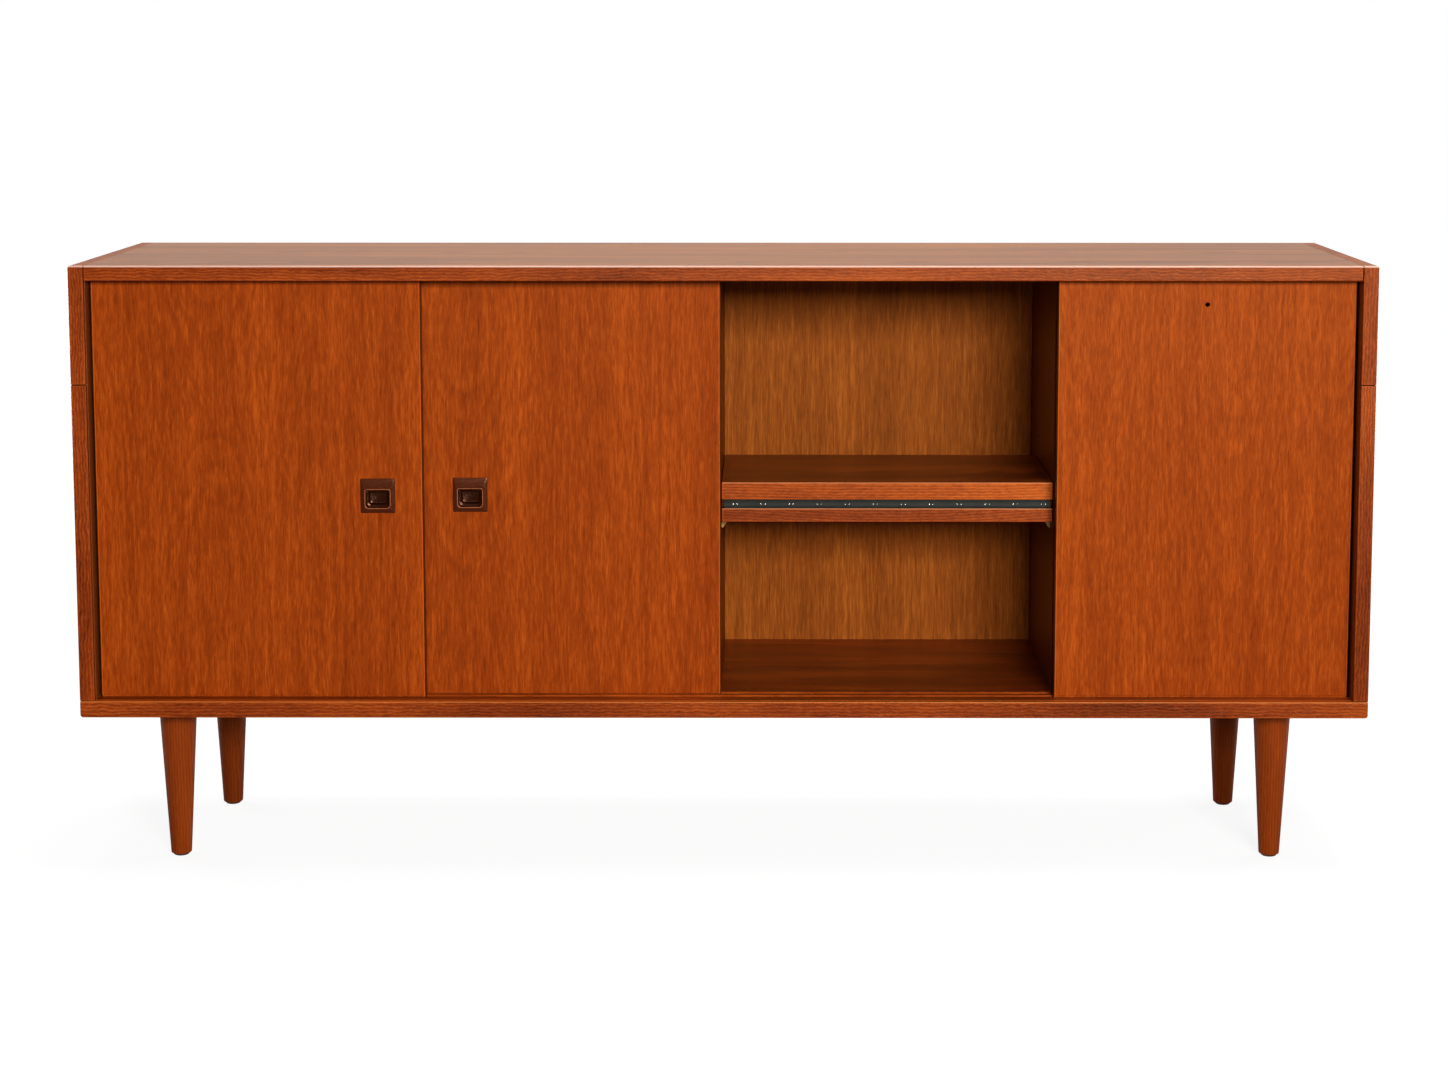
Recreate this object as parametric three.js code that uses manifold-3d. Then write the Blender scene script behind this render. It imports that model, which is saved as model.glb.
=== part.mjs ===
// Sideboard with three sliding doors, an open bay and four turned legs.
// Millimetres, +Z up. The front faces -Y. The origin is on the floor, under the middle of the carcass.

import * as THREE from "three";
import { mergeVertices } from "three/addons/utils/BufferGeometryUtils.js";
import Module from "manifold-3d";

// ---- overall size ----
const WIDTH = 1700;
const DEPTH = 400;
const HEIGHT = 808;
const LEG_LENGTH = 209; // floor to the underside of the bottom board

// ---- gaps ----
const JOINT_GAP = 0.3; // between glued or fitted pieces
const SHELF_SIDE_GAP = 1; // between a loose shelf and the wall beside it

// ---- carcass boards ----
const SIDE_THICKNESS = 20;
const TOP_THICKNESS = 20;
const BOTTOM_THICKNESS = 22;
const CORNER_RADIUS = 4; // outer top corners of the sides, outer lower corners of the bottom board
const LIPPING_DEPTH = 8; // solid lipping on the front edges
const LIPPING_SEAM_DROP = 156; // butt joint of the side lippings, below the top surface
const PARTITION_THICKNESS = 18;
const BACK_THICKNESS = 6;
const BACK_INSET = 24; // back panel's rear face, in from the rear edges
const BACK_GROOVE_DEPTH = 6;

// ---- bays, clear widths; the right bay takes what is left ----
const LEFT_BAY_WIDTH = 808;
const MIDDLE_BAY_WIDTH = 442;

// ---- doors ----
const DOOR_THICKNESS = 12.5;
const DOOR_SHOULDER = 1.5; // door face to tongue, front and back
const DOOR_OVERLAP = 40; // the left door over the centre door
const DOOR_END_GAP = 2; // closed door to side board
const DOOR_TOP_GAP = 2;
const DOOR_PASS_GAP = 1.5; // the rear door's pull to the back of a front door
const DOOR_SHELF_GAP = 3.25; // the rear door's back to the shelves
const FRONT_DOOR_SILL_GAP = 2.5;
const REAR_DOOR_SILL_GAP = 1;
const LOWER_TONGUE = 4; // tongue below the sill's surface
const UPPER_TONGUE = 7; // tongue above the underside of the top
const KEY_HOLE_DIAMETER = 6;
const KEY_HOLE_DROP = 31; // below the right door's upper edge
const GLIDE_LENGTH = 34;
const GLIDE_HEIGHT = 6;
const GLIDE_END_DISTANCE = 40; // door edge to glide
const STOP_LENGTH = 16;

// ---- door tracks ----
const TRACK_START = 28; // front edge of the front groove, behind the front edge
const TRACK_SIDE_CLEARANCE = 0.75; // groove to tongue, each side
const LOWER_TRACK_DEPTH = 7;
const LIFT_OUT_HEIGHT = 5; // free height above the upper tongue, to lift a door out

// ---- finger pulls ----
const PULL_SIZE = 46;
const PULL_PROUD = 3;
const PULL_FLANGE = 3; // the frame's overlap on the door, all round
const PULL_SIDE_RIM = 7; // frame's edge to the cup's mouth
const PULL_UPPER_RIM = 15;
const PULL_LOWER_RIM = 7;
const PULL_FLOOR = 1.5;
const PULL_RECESS_BEHIND = 0.5; // body's back, in from the door's back
const PULL_CORNER_RADIUS = 2;
const PULL_OPENING_RADIUS = 5;
const PULL_TO_LEFT_DOOR_EDGE = 60; // both pulls, either side of the left door's free edge
const PULL_HEIGHT = 268; // centre above the door's lower edge

// ---- shelves ----
const SHELF_THICKNESS = 18;
const SHELF_BACK_GAP = 3; // left and right shelves to the back panel
const MIDDLE_SHELF_BACK_GAP = 70; // the double shelf stops short of the back panel
const SHELF_RISE = 262; // bottom board to the underside of the left and right shelves
const MIDDLE_SHELF_RISE = 283; // bottom board to the top of the double shelf
const UPPER_BOARD_THICKNESS = 23;
const LOWER_BOARD_THICKNESS = 18;
const RUNNER_HEIGHT = 12; // clear height between the double shelf's boards
const SPACER_WIDTH = 24;

// ---- ball runner on the double shelf's front ----
const CHANNEL_WALL = 1;
const CHANNEL_DEPTH = 9;
const CHANNEL_SETBACK = 0.2; // behind the shelf's front edge
const CHANNEL_END_GAP = 3;
const CAGE_THICKNESS = 1.6;
const CAGE_SETBACK = 1.2;
const BALL_DIAMETER = 7;
const BALL_DOOR_GAP = 1.65; // balls to the rear door's back
const BALL_COUNT = 14;
const BALL_END_DISTANCE = 12;

// ---- shelf supports: a pin in the wall behind a triangular bracket ----
const PIN_DIAMETER = 5;
const PIN_IN_WALL = 7.5;
const PIN_HOLE_DEPTH = 8;
const PIN_CLEARANCE = 0.15; // all round the pin
const PIN_DROP = 5; // shelf's underside to the pin's centre
const BRACKET_WIDTH = 8;
const BRACKET_REACH = 10; // from the wall, under the shelf
const BRACKET_HEIGHT = 14;
const BRACKET_LIP = 1.5; // blunt ends of the triangle
const SUPPORT_FROM_EDGE = 38; // shelf's front or rear edge to the support's centre
const SPARE_HOLE_STEP = 90;
const SPARE_HOLES = 2; // above each used hole

// ---- legs ----
const LEG_TOP_DIAMETER = 51;
const LEG_FOOT_DIAMETER = 27.5;
const LEG_FOOT_RADIUS = 3;
const LEG_DEPTH_INSET = 78; // leg centre from the front or rear edge
const FRONT_LEG_SIDE_INSET = 112;
const REAR_LEG_SIDE_INSET = 133;
const BOLT_DIAMETER = 8;
const BOLT_IN_LEG = 36;
const BOLT_IN_BOARD = 17;
const BOLT_HOLE_END = 1; // free depth past each end of the bolt
const BOLT_CHAMFER = 1;
const FLOOR_GLIDE_INSET = 3.25; // foot's rim to the glide's rim
const FLOOR_GLIDE_HEIGHT = 2.5;
const FLOOR_GLIDE_CHAMFER = 1;
const NAIL_DIAMETER = 3;
const NAIL_LENGTH = 14;

// ---- how far a cutting tool runs past the faces that it opens ----
const OVERCUT = 1;

// ---- facets ----
const CORNER_STEPS = 4;
const TURNED_SIDES = 24;
const SMALL_SIDES = 12;
const BALL_SIDES = 10;

// ---- worked out from the sizes above ----
const SILL_Z = LEG_LENGTH + BOTTOM_THICKNESS;
const CEILING_Z = HEIGHT - TOP_THICKNESS;
const FRONT_Y = -DEPTH / 2;
const REAR_Y = DEPTH / 2;
const INNER_X = WIDTH / 2 - SIDE_THICKNESS;
const INNER_HEIGHT = CEILING_Z - SILL_Z;
const BOARD_DEPTH = DEPTH - LIPPING_DEPTH - JOINT_GAP;
const BOARD_FRONT_Y = FRONT_Y + LIPPING_DEPTH + JOINT_GAP;
const BACK_FRONT_Y = REAR_Y - BACK_INSET - BACK_THICKNESS;
const TONGUE_THICKNESS = DOOR_THICKNESS - 2 * DOOR_SHOULDER;
const TRACK_WIDTH = TONGUE_THICKNESS + 2 * TRACK_SIDE_CLEARANCE;
const TRACK_PITCH = DOOR_THICKNESS + PULL_PROUD + DOOR_PASS_GAP; // front groove to rear groove
const TRACK_CENTRE_Y = FRONT_Y + TRACK_START + TRACK_WIDTH / 2;
const UPPER_TRACK_DEPTH = UPPER_TONGUE + LIFT_OUT_HEIGHT;
const REAR_DOOR_BACK_Y = TRACK_CENTRE_Y + TRACK_PITCH + DOOR_THICKNESS / 2;
const SHELF_FRONT_Y = REAR_DOOR_BACK_Y + DOOR_SHELF_GAP; // and the partitions' front edges
const PARTITION_DEPTH = BACK_FRONT_Y - JOINT_GAP - SHELF_FRONT_Y;
const SHELF_DEPTH = BACK_FRONT_Y - SHELF_BACK_GAP - SHELF_FRONT_Y;
const MIDDLE_SHELF_DEPTH = BACK_FRONT_Y - MIDDLE_SHELF_BACK_GAP - SHELF_FRONT_Y;
const CENTRE_PARTITION_X = -INNER_X + LEFT_BAY_WIDTH;
const MIDDLE_BAY_X = CENTRE_PARTITION_X + PARTITION_THICKNESS;
const RIGHT_PARTITION_X = MIDDLE_BAY_X + MIDDLE_BAY_WIDTH;
const RIGHT_BAY_X = RIGHT_PARTITION_X + PARTITION_THICKNESS;
const SHELF_UNDERSIDE_Z = SILL_Z + SHELF_RISE;
const UPPER_BOARD_Z = SILL_Z + MIDDLE_SHELF_RISE - UPPER_BOARD_THICKNESS;
const RUNNER_Z = UPPER_BOARD_Z - RUNNER_HEIGHT;
const LOWER_BOARD_Z = RUNNER_Z - LOWER_BOARD_THICKNESS;

// ---- materials ----
function finish(color, roughness, metalness = 0) {
  return new THREE.MeshStandardMaterial({ color, roughness, metalness });
}

const teakVeneer = () => finish(0xa24a1c, 0.42);
const teakSolid = () => finish(0x8a3c18, 0.4);
const teakInside = () => finish(0x6d3416, 0.5);
const backVeneer = () => finish(0xb9762f, 0.55);
const turnedTeak = () => finish(0x87391a, 0.38);
const carvedPull = () => finish(0x4a2013, 0.4);
const darkSteel = () => finish(0x3c3b3a, 0.4, 0.9);
const ballSteel = () => finish(0xc8c8c6, 0.2, 1);
const brass = () => finish(0xb58a3e, 0.3, 1);
const zincSteel = () => finish(0x9fa1a3, 0.4, 1);
const nylon = () => finish(0x3a3430, 0.6);

// ---- solids ----
const wasm = await Module();
wasm.setup();

function toSolid(geometry) {
  const bare = geometry.clone();
  bare.deleteAttribute("normal");
  bare.deleteAttribute("uv");
  const merged = mergeVertices(bare, 1e-4);
  return new wasm.Manifold(
    new wasm.Mesh({
      numProp: 3,
      vertProperties: merged.attributes.position.array,
      triVerts: new Uint32Array(merged.index.array),
    }),
  );
}

function toGeometry(solid) {
  const mesh = solid.getMesh();
  const geometry = new THREE.BufferGeometry();
  geometry.setAttribute("position", new THREE.BufferAttribute(new Float32Array(mesh.vertProperties), 3));
  geometry.setIndex(new THREE.BufferAttribute(new Uint32Array(mesh.triVerts), 1));
  geometry.computeVertexNormals();
  return geometry;
}

function cut(geometry, tools) {
  const start = toSolid(geometry);
  return toGeometry(tools.reduce((solid, tool) => solid.subtract(toSolid(tool)), start));
}

function join(geometry, others) {
  const start = toSolid(geometry);
  return toGeometry(others.reduce((solid, other) => solid.add(toSolid(other)), start));
}

// A box from a lower corner, with its size along X, Y and Z.
function block([x, y, z], [width, depth, height]) {
  const box = new THREE.BoxGeometry(width, depth, height);
  return box.translate(x + width / 2, y + depth / 2, z + height / 2);
}

// A rectangle with its lower left corner at the origin; radii run lower left, lower right, upper right,
// upper left.
function roundedRectangle(width, height, [lowerLeft, lowerRight, upperRight, upperLeft]) {
  const shape = new THREE.Shape();
  const corner = (x, y, radius, turn) => {
    if (radius > 0) shape.absarc(x, y, radius, turn, turn + Math.PI / 2, false);
    else shape.lineTo(x, y);
  };
  shape.moveTo(lowerLeft, 0);
  corner(width - lowerRight, lowerRight, lowerRight, -Math.PI / 2);
  corner(width - upperRight, height - upperRight, upperRight, 0);
  corner(upperLeft, height - upperLeft, upperLeft, Math.PI / 2);
  corner(lowerLeft, lowerLeft, lowerLeft, Math.PI);
  return shape;
}

// An outline in X and Z, made solid from Y = 0 to Y = depth.
function extrudeBack(shape, depth) {
  const options = { depth, bevelEnabled: false, curveSegments: CORNER_STEPS };
  const geometry = new THREE.ExtrudeGeometry(shape, options);
  return geometry.rotateX(Math.PI / 2).translate(0, depth, 0);
}

// An outline in Y and Z, made solid from X = 0 to X = length.
function extrudeAcross(outline, length) {
  const shape = new THREE.Shape(outline.map(([y, z]) => new THREE.Vector2(y, z)));
  const geometry = new THREE.ExtrudeGeometry(shape, { depth: length, bevelEnabled: false });
  const toAcross = new THREE.Matrix4().makeBasis(
    new THREE.Vector3(0, 1, 0),
    new THREE.Vector3(0, 0, 1),
    new THREE.Vector3(1, 0, 0),
  );
  return geometry.applyMatrix4(toAcross);
}

// A turned solid about Z, from its outline as [radius, height] points, first and last on the axis.
function turn(outline, sides) {
  const points = outline.map(([radius, height]) => new THREE.Vector2(radius, height));
  return new THREE.LatheGeometry(points, sides).rotateX(Math.PI / 2);
}

// A plain round bar about Z, between two heights.
function bar(radius, low, high) {
  return turn([[0, low], [radius, low], [radius, high], [0, high]], SMALL_SIDES);
}

function place(parent, name, geometry, material, position = [0, 0, 0]) {
  const mesh = new THREE.Mesh(geometry, material);
  mesh.name = name;
  mesh.position.set(...position);
  parent.add(mesh);
  return mesh;
}

const sideboard = new THREE.Group();

// ---- track grooves, cut into the sill and into the underside of the top ----
function trackGrooves(x, length, z, depth) {
  return [0, TRACK_PITCH].map((offset) =>
    block([x, TRACK_CENTRE_Y - TRACK_WIDTH / 2 + offset, z], [length, TRACK_WIDTH, depth]),
  );
}

// ---- groove for the back panel, cut into the boards all round it ----
function backGroove([x, z], length, height) {
  const size = [length, BACK_THICKNESS + 2 * JOINT_GAP, height];
  return block([x, BACK_FRONT_Y - JOINT_GAP, z], size);
}

// ---- legs: places, turned leg, hanger bolt, floor glide ----
const LEG_PLACES = [
  { name: "front_left", x: -WIDTH / 2 + FRONT_LEG_SIDE_INSET, y: FRONT_Y + LEG_DEPTH_INSET },
  { name: "front_right", x: WIDTH / 2 - FRONT_LEG_SIDE_INSET, y: FRONT_Y + LEG_DEPTH_INSET },
  { name: "rear_left", x: -WIDTH / 2 + REAR_LEG_SIDE_INSET, y: REAR_Y - LEG_DEPTH_INSET },
  { name: "rear_right", x: WIDTH / 2 - REAR_LEG_SIDE_INSET, y: REAR_Y - LEG_DEPTH_INSET },
];

const LEG_FOOT_Z = FLOOR_GLIDE_HEIGHT + JOINT_GAP;
const LEG_HEAD_Z = LEG_LENGTH - JOINT_GAP;
const BOLT_HOLE_RADIUS = BOLT_DIAMETER / 2 + JOINT_GAP;

function legGeometry() {
  const foot = LEG_FOOT_DIAMETER / 2;
  const head = LEG_TOP_DIAMETER / 2;
  const outline = [[0, LEG_FOOT_Z]];
  for (let step = 0; step <= CORNER_STEPS; step += 1) {
    const angle = (Math.PI / 2) * (step / CORNER_STEPS);
    outline.push([
      foot - LEG_FOOT_RADIUS + LEG_FOOT_RADIUS * Math.sin(angle),
      LEG_FOOT_Z + LEG_FOOT_RADIUS - LEG_FOOT_RADIUS * Math.cos(angle),
    ]);
  }
  outline.push([head, LEG_HEAD_Z], [0, LEG_HEAD_Z]);
  const boltHoleLow = LEG_HEAD_Z - BOLT_IN_LEG - BOLT_HOLE_END;
  const boltHole = bar(BOLT_HOLE_RADIUS, boltHoleLow, LEG_HEAD_Z + OVERCUT);
  const nailHoleHigh = FLOOR_GLIDE_HEIGHT + NAIL_LENGTH + JOINT_GAP;
  const nailHole = bar(NAIL_DIAMETER / 2 + JOINT_GAP, LEG_FOOT_Z - OVERCUT, nailHoleHigh);
  return cut(turn(outline, TURNED_SIDES), [boltHole, nailHole]);
}

function boltGeometry() {
  const radius = BOLT_DIAMETER / 2;
  const tip = radius - BOLT_CHAMFER;
  const low = LEG_HEAD_Z - BOLT_IN_LEG;
  const high = LEG_LENGTH + BOLT_IN_BOARD;
  return turn(
    [[0, low], [tip, low], [radius, low + BOLT_CHAMFER], [radius, high - BOLT_CHAMFER], [tip, high],
      [0, high]],
    SMALL_SIDES,
  );
}

function floorGlideGeometry() {
  const rim = LEG_FOOT_DIAMETER / 2 - FLOOR_GLIDE_INSET;
  const nail = NAIL_DIAMETER / 2;
  const top = FLOOR_GLIDE_HEIGHT + NAIL_LENGTH;
  return turn(
    [[0, 0], [rim - FLOOR_GLIDE_CHAMFER, 0], [rim, FLOOR_GLIDE_CHAMFER], [rim, FLOOR_GLIDE_HEIGHT],
      [nail, FLOOR_GLIDE_HEIGHT], [nail, top - nail], [0, top]],
    SMALL_SIDES,
  );
}

for (const leg of LEG_PLACES) {
  const group = new THREE.Group();
  group.position.set(leg.x, leg.y, 0);
  sideboard.add(group);
  place(group, `leg_${leg.name}`, legGeometry(), turnedTeak());
  place(group, `leg_bolt_${leg.name}`, boltGeometry(), zincSteel());
  place(group, `floor_glide_${leg.name}`, floorGlideGeometry(), nylon());
}

// ---- bottom board and its lipping ----
const bottomOutline = roundedRectangle(WIDTH, BOTTOM_THICKNESS, [CORNER_RADIUS, CORNER_RADIUS, 0, 0]);
const boltHoleHigh = LEG_LENGTH + BOLT_IN_BOARD + BOLT_HOLE_END;
const legBoltHoles = LEG_PLACES.map(({ x, y }) => {
  const hole = bar(BOLT_HOLE_RADIUS, LEG_LENGTH - OVERCUT, boltHoleHigh);
  return hole.translate(x, y, 0);
});
place(
  sideboard,
  "bottom_board",
  cut(extrudeBack(bottomOutline, BOARD_DEPTH).translate(-WIDTH / 2, BOARD_FRONT_Y, LEG_LENGTH), [
    ...trackGrooves(-INNER_X, 2 * INNER_X, SILL_Z - LOWER_TRACK_DEPTH, LOWER_TRACK_DEPTH + OVERCUT),
    backGroove(
      [-INNER_X - BACK_GROOVE_DEPTH, SILL_Z - BACK_GROOVE_DEPTH],
      2 * (INNER_X + BACK_GROOVE_DEPTH),
      BACK_GROOVE_DEPTH + OVERCUT,
    ),
    ...legBoltHoles,
  ]),
  teakVeneer(),
);
place(sideboard, "bottom_lipping", extrudeBack(bottomOutline, LIPPING_DEPTH), teakSolid(), [
  -WIDTH / 2,
  FRONT_Y,
  LEG_LENGTH,
]);

// ---- top board and its lipping ----
const TOP_LENGTH = 2 * (INNER_X - JOINT_GAP);
const topCutLow = CEILING_Z - OVERCUT;
place(
  sideboard,
  "top_board",
  cut(block([-TOP_LENGTH / 2, BOARD_FRONT_Y, CEILING_Z], [TOP_LENGTH, BOARD_DEPTH, TOP_THICKNESS]), [
    ...trackGrooves(-INNER_X, 2 * INNER_X, topCutLow, UPPER_TRACK_DEPTH + OVERCUT),
    backGroove([-INNER_X, topCutLow], 2 * INNER_X, BACK_GROOVE_DEPTH + OVERCUT),
  ]),
  teakVeneer(),
);
place(
  sideboard,
  "top_lipping",
  block([-TOP_LENGTH / 2, FRONT_Y, CEILING_Z], [TOP_LENGTH, LIPPING_DEPTH, TOP_THICKNESS]),
  teakSolid(),
);

// ---- shelf supports and the holes that they sit in ----
function supportColumns(shelfDepth) {
  return [
    { place: "front", y: SHELF_FRONT_Y + SUPPORT_FROM_EDGE },
    { place: "rear", y: SHELF_FRONT_Y + shelfDepth - SUPPORT_FROM_EDGE },
  ];
}

// Holes drilled along X into a wall from its face at x, towards -1 or +1, with spare holes above.
function pinHoles({ x, towards, shelfZ, shelfDepth }) {
  const holes = [];
  for (const { y } of supportColumns(shelfDepth)) {
    for (let step = 0; step <= SPARE_HOLES; step += 1) {
      const hole = bar(PIN_DIAMETER / 2 + PIN_CLEARANCE, -OVERCUT, PIN_HOLE_DEPTH);
      hole.rotateY((towards * Math.PI) / 2);
      holes.push(hole.translate(x, y, shelfZ - PIN_DROP + step * SPARE_HOLE_STEP));
    }
  }
  return holes;
}

// A support seen from the front, on the wall at X = 0 and reaching towards +X, under a shelf at Z = 0.
function supportGeometry() {
  const outline = new THREE.Shape([
    new THREE.Vector2(JOINT_GAP, -JOINT_GAP),
    new THREE.Vector2(JOINT_GAP, -BRACKET_HEIGHT),
    new THREE.Vector2(JOINT_GAP + BRACKET_LIP, -BRACKET_HEIGHT),
    new THREE.Vector2(BRACKET_REACH, -JOINT_GAP - BRACKET_LIP),
    new THREE.Vector2(BRACKET_REACH, -JOINT_GAP),
  ]);
  const bracket = extrudeBack(outline, BRACKET_WIDTH).translate(0, -BRACKET_WIDTH / 2, 0);
  const pin = bar(PIN_DIAMETER / 2, -PIN_IN_WALL, JOINT_GAP + BRACKET_LIP).rotateY(Math.PI / 2);
  return join(bracket, [pin.translate(0, 0, -PIN_DROP)]);
}

// Four supports that carry one shelf between the walls at leftX and rightX.
function shelfSupports(bay, leftX, rightX, shelfZ, shelfDepth) {
  const ends = [
    { side: "left", x: leftX, turn: 0 },
    { side: "right", x: rightX, turn: Math.PI },
  ];
  for (const end of ends) {
    for (const column of supportColumns(shelfDepth)) {
      const name = `${bay}_shelf_support_${column.place}_${end.side}`;
      const geometry = supportGeometry().rotateZ(end.turn);
      place(sideboard, name, geometry, brass(), [end.x, column.y, shelfZ]);
    }
  }
}

// ---- side boards and their lippings ----
const SIDE_HEIGHT = HEIGHT - SILL_Z - JOINT_GAP;
const UPPER_LIPPING_HEIGHT = LIPPING_SEAM_DROP - JOINT_GAP / 2;
const LOWER_LIPPING_HEIGHT = SIDE_HEIGHT - LIPPING_SEAM_DROP - JOINT_GAP / 2;

for (const side of [
  { name: "left", x: -WIDTH / 2, innerX: -INNER_X, towards: -1, radii: [0, 0, 0, CORNER_RADIUS] },
  { name: "right", x: INNER_X, innerX: INNER_X, towards: 1, radii: [0, 0, CORNER_RADIUS, 0] },
]) {
  const boardOutline = roundedRectangle(SIDE_THICKNESS, SIDE_HEIGHT, side.radii);
  const grooveX = side.towards < 0 ? side.innerX - BACK_GROOVE_DEPTH : side.innerX - OVERCUT;
  const grooveSize = [BACK_GROOVE_DEPTH + OVERCUT, INNER_HEIGHT + BACK_GROOVE_DEPTH + OVERCUT];
  const board = extrudeBack(boardOutline, BOARD_DEPTH).translate(side.x, BOARD_FRONT_Y, SILL_Z + JOINT_GAP);
  place(
    sideboard,
    `${side.name}_side_board`,
    cut(board, [
      backGroove([grooveX, SILL_Z - OVERCUT], ...grooveSize),
      ...pinHoles({
        x: side.innerX,
        towards: side.towards,
        shelfZ: SHELF_UNDERSIDE_Z,
        shelfDepth: SHELF_DEPTH,
      }),
    ]),
    teakVeneer(),
  );
  const upperOutline = roundedRectangle(SIDE_THICKNESS, UPPER_LIPPING_HEIGHT, side.radii);
  place(sideboard, `${side.name}_side_upper_lipping`, extrudeBack(upperOutline, LIPPING_DEPTH), teakSolid(), [
    side.x,
    FRONT_Y,
    HEIGHT - UPPER_LIPPING_HEIGHT,
  ]);
  place(
    sideboard,
    `${side.name}_side_lower_lipping`,
    block([side.x, FRONT_Y, SILL_Z + JOINT_GAP], [SIDE_THICKNESS, LIPPING_DEPTH, LOWER_LIPPING_HEIGHT]),
    teakSolid(),
  );
}

// ---- back panel, held in grooves all round ----
const BACK_REACH = BACK_GROOVE_DEPTH - JOINT_GAP;
place(
  sideboard,
  "back_panel",
  block(
    [-INNER_X - BACK_REACH, BACK_FRONT_Y, SILL_Z - BACK_REACH],
    [2 * (INNER_X + BACK_REACH), BACK_THICKNESS, INNER_HEIGHT + 2 * BACK_REACH],
  ),
  backVeneer(),
);

// ---- partitions, drilled from both faces for the shelves beside them ----
function partition(name, x, leftShelf, rightShelf) {
  const board = block(
    [x, SHELF_FRONT_Y, SILL_Z + JOINT_GAP],
    [PARTITION_THICKNESS, PARTITION_DEPTH, INNER_HEIGHT - 2 * JOINT_GAP],
  );
  const holes = [
    ...pinHoles({ x, towards: 1, ...leftShelf }),
    ...pinHoles({ x: x + PARTITION_THICKNESS, towards: -1, ...rightShelf }),
  ];
  place(sideboard, name, cut(board, holes), teakInside());
}

const PLAIN_SHELF = { shelfZ: SHELF_UNDERSIDE_Z, shelfDepth: SHELF_DEPTH };
const DOUBLE_SHELF = { shelfZ: LOWER_BOARD_Z, shelfDepth: MIDDLE_SHELF_DEPTH };
partition("centre_partition", CENTRE_PARTITION_X, PLAIN_SHELF, DOUBLE_SHELF);
partition("right_partition", RIGHT_PARTITION_X, DOUBLE_SHELF, PLAIN_SHELF);

// ---- plain shelves behind the closed doors ----
function plainShelf(bay, leftX, rightX) {
  const board = block(
    [leftX + SHELF_SIDE_GAP, SHELF_FRONT_Y, SHELF_UNDERSIDE_Z],
    [rightX - leftX - 2 * SHELF_SIDE_GAP, SHELF_DEPTH, SHELF_THICKNESS],
  );
  place(sideboard, `${bay}_shelf`, board, teakInside());
  shelfSupports(bay, leftX, rightX, SHELF_UNDERSIDE_Z, SHELF_DEPTH);
}

plainShelf("left", -INNER_X, CENTRE_PARTITION_X);
plainShelf("right", RIGHT_BAY_X, INNER_X);

// ---- double shelf in the open bay, with the ball runner between its boards ----
const DOUBLE_SHELF_LENGTH = MIDDLE_BAY_WIDTH - 2 * SHELF_SIDE_GAP;
const DOUBLE_SHELF_X = MIDDLE_BAY_X + SHELF_SIDE_GAP;
for (const board of [
  { name: "upper", z: UPPER_BOARD_Z, thickness: UPPER_BOARD_THICKNESS },
  { name: "lower", z: LOWER_BOARD_Z, thickness: LOWER_BOARD_THICKNESS },
]) {
  const corner = [DOUBLE_SHELF_X, SHELF_FRONT_Y, board.z];
  const size = [DOUBLE_SHELF_LENGTH, MIDDLE_SHELF_DEPTH, board.thickness];
  place(sideboard, `middle_shelf_${board.name}_board`, block(corner, size), teakInside());
}
shelfSupports("middle", MIDDLE_BAY_X, RIGHT_PARTITION_X, LOWER_BOARD_Z, MIDDLE_SHELF_DEPTH);

const SPACER_SETBACK = CHANNEL_SETBACK + CHANNEL_DEPTH + JOINT_GAP;
for (const spacer of [
  { name: "left", x: DOUBLE_SHELF_X },
  { name: "right", x: DOUBLE_SHELF_X + DOUBLE_SHELF_LENGTH - SPACER_WIDTH },
]) {
  place(
    sideboard,
    `middle_shelf_${spacer.name}_spacer`,
    block(
      [spacer.x, SHELF_FRONT_Y + SPACER_SETBACK, RUNNER_Z + JOINT_GAP],
      [SPACER_WIDTH, MIDDLE_SHELF_DEPTH - SPACER_SETBACK, RUNNER_HEIGHT - 2 * JOINT_GAP],
    ),
    teakInside(),
  );
}

const CHANNEL_LENGTH = DOUBLE_SHELF_LENGTH - 2 * CHANNEL_END_GAP;
const CHANNEL_HEIGHT = RUNNER_HEIGHT - 2 * JOINT_GAP;
const CHANNEL_FRONT_Y = SHELF_FRONT_Y + CHANNEL_SETBACK;

function channelGeometry() {
  const inside = CHANNEL_DEPTH - CHANNEL_WALL;
  return extrudeAcross(
    [[0, 0], [CHANNEL_DEPTH, 0], [CHANNEL_DEPTH, CHANNEL_HEIGHT], [0, CHANNEL_HEIGHT],
      [0, CHANNEL_HEIGHT - CHANNEL_WALL], [inside, CHANNEL_HEIGHT - CHANNEL_WALL], [inside, CHANNEL_WALL],
      [0, CHANNEL_WALL]],
    CHANNEL_LENGTH,
  );
}

// The flat cage with its row of balls, whose fronts stand just clear of a door that slides by.
function cageGeometry() {
  const height = CHANNEL_HEIGHT - 2 * CHANNEL_WALL - 2 * JOINT_GAP;
  const cage = block([0, CAGE_SETBACK, 0], [CHANNEL_LENGTH, CAGE_THICKNESS, height]);
  const spacing = (CHANNEL_LENGTH - 2 * BALL_END_DISTANCE) / (BALL_COUNT - 1);
  const ballY = BALL_DOOR_GAP - DOOR_SHELF_GAP + BALL_DIAMETER / 2 - CHANNEL_SETBACK;
  const balls = [];
  for (let i = 0; i < BALL_COUNT; i += 1) {
    const ball = new THREE.SphereGeometry(BALL_DIAMETER / 2, BALL_SIDES, BALL_SIDES / 2);
    balls.push(ball.translate(BALL_END_DISTANCE + i * spacing, ballY, height / 2));
  }
  return join(cage, balls);
}

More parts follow.
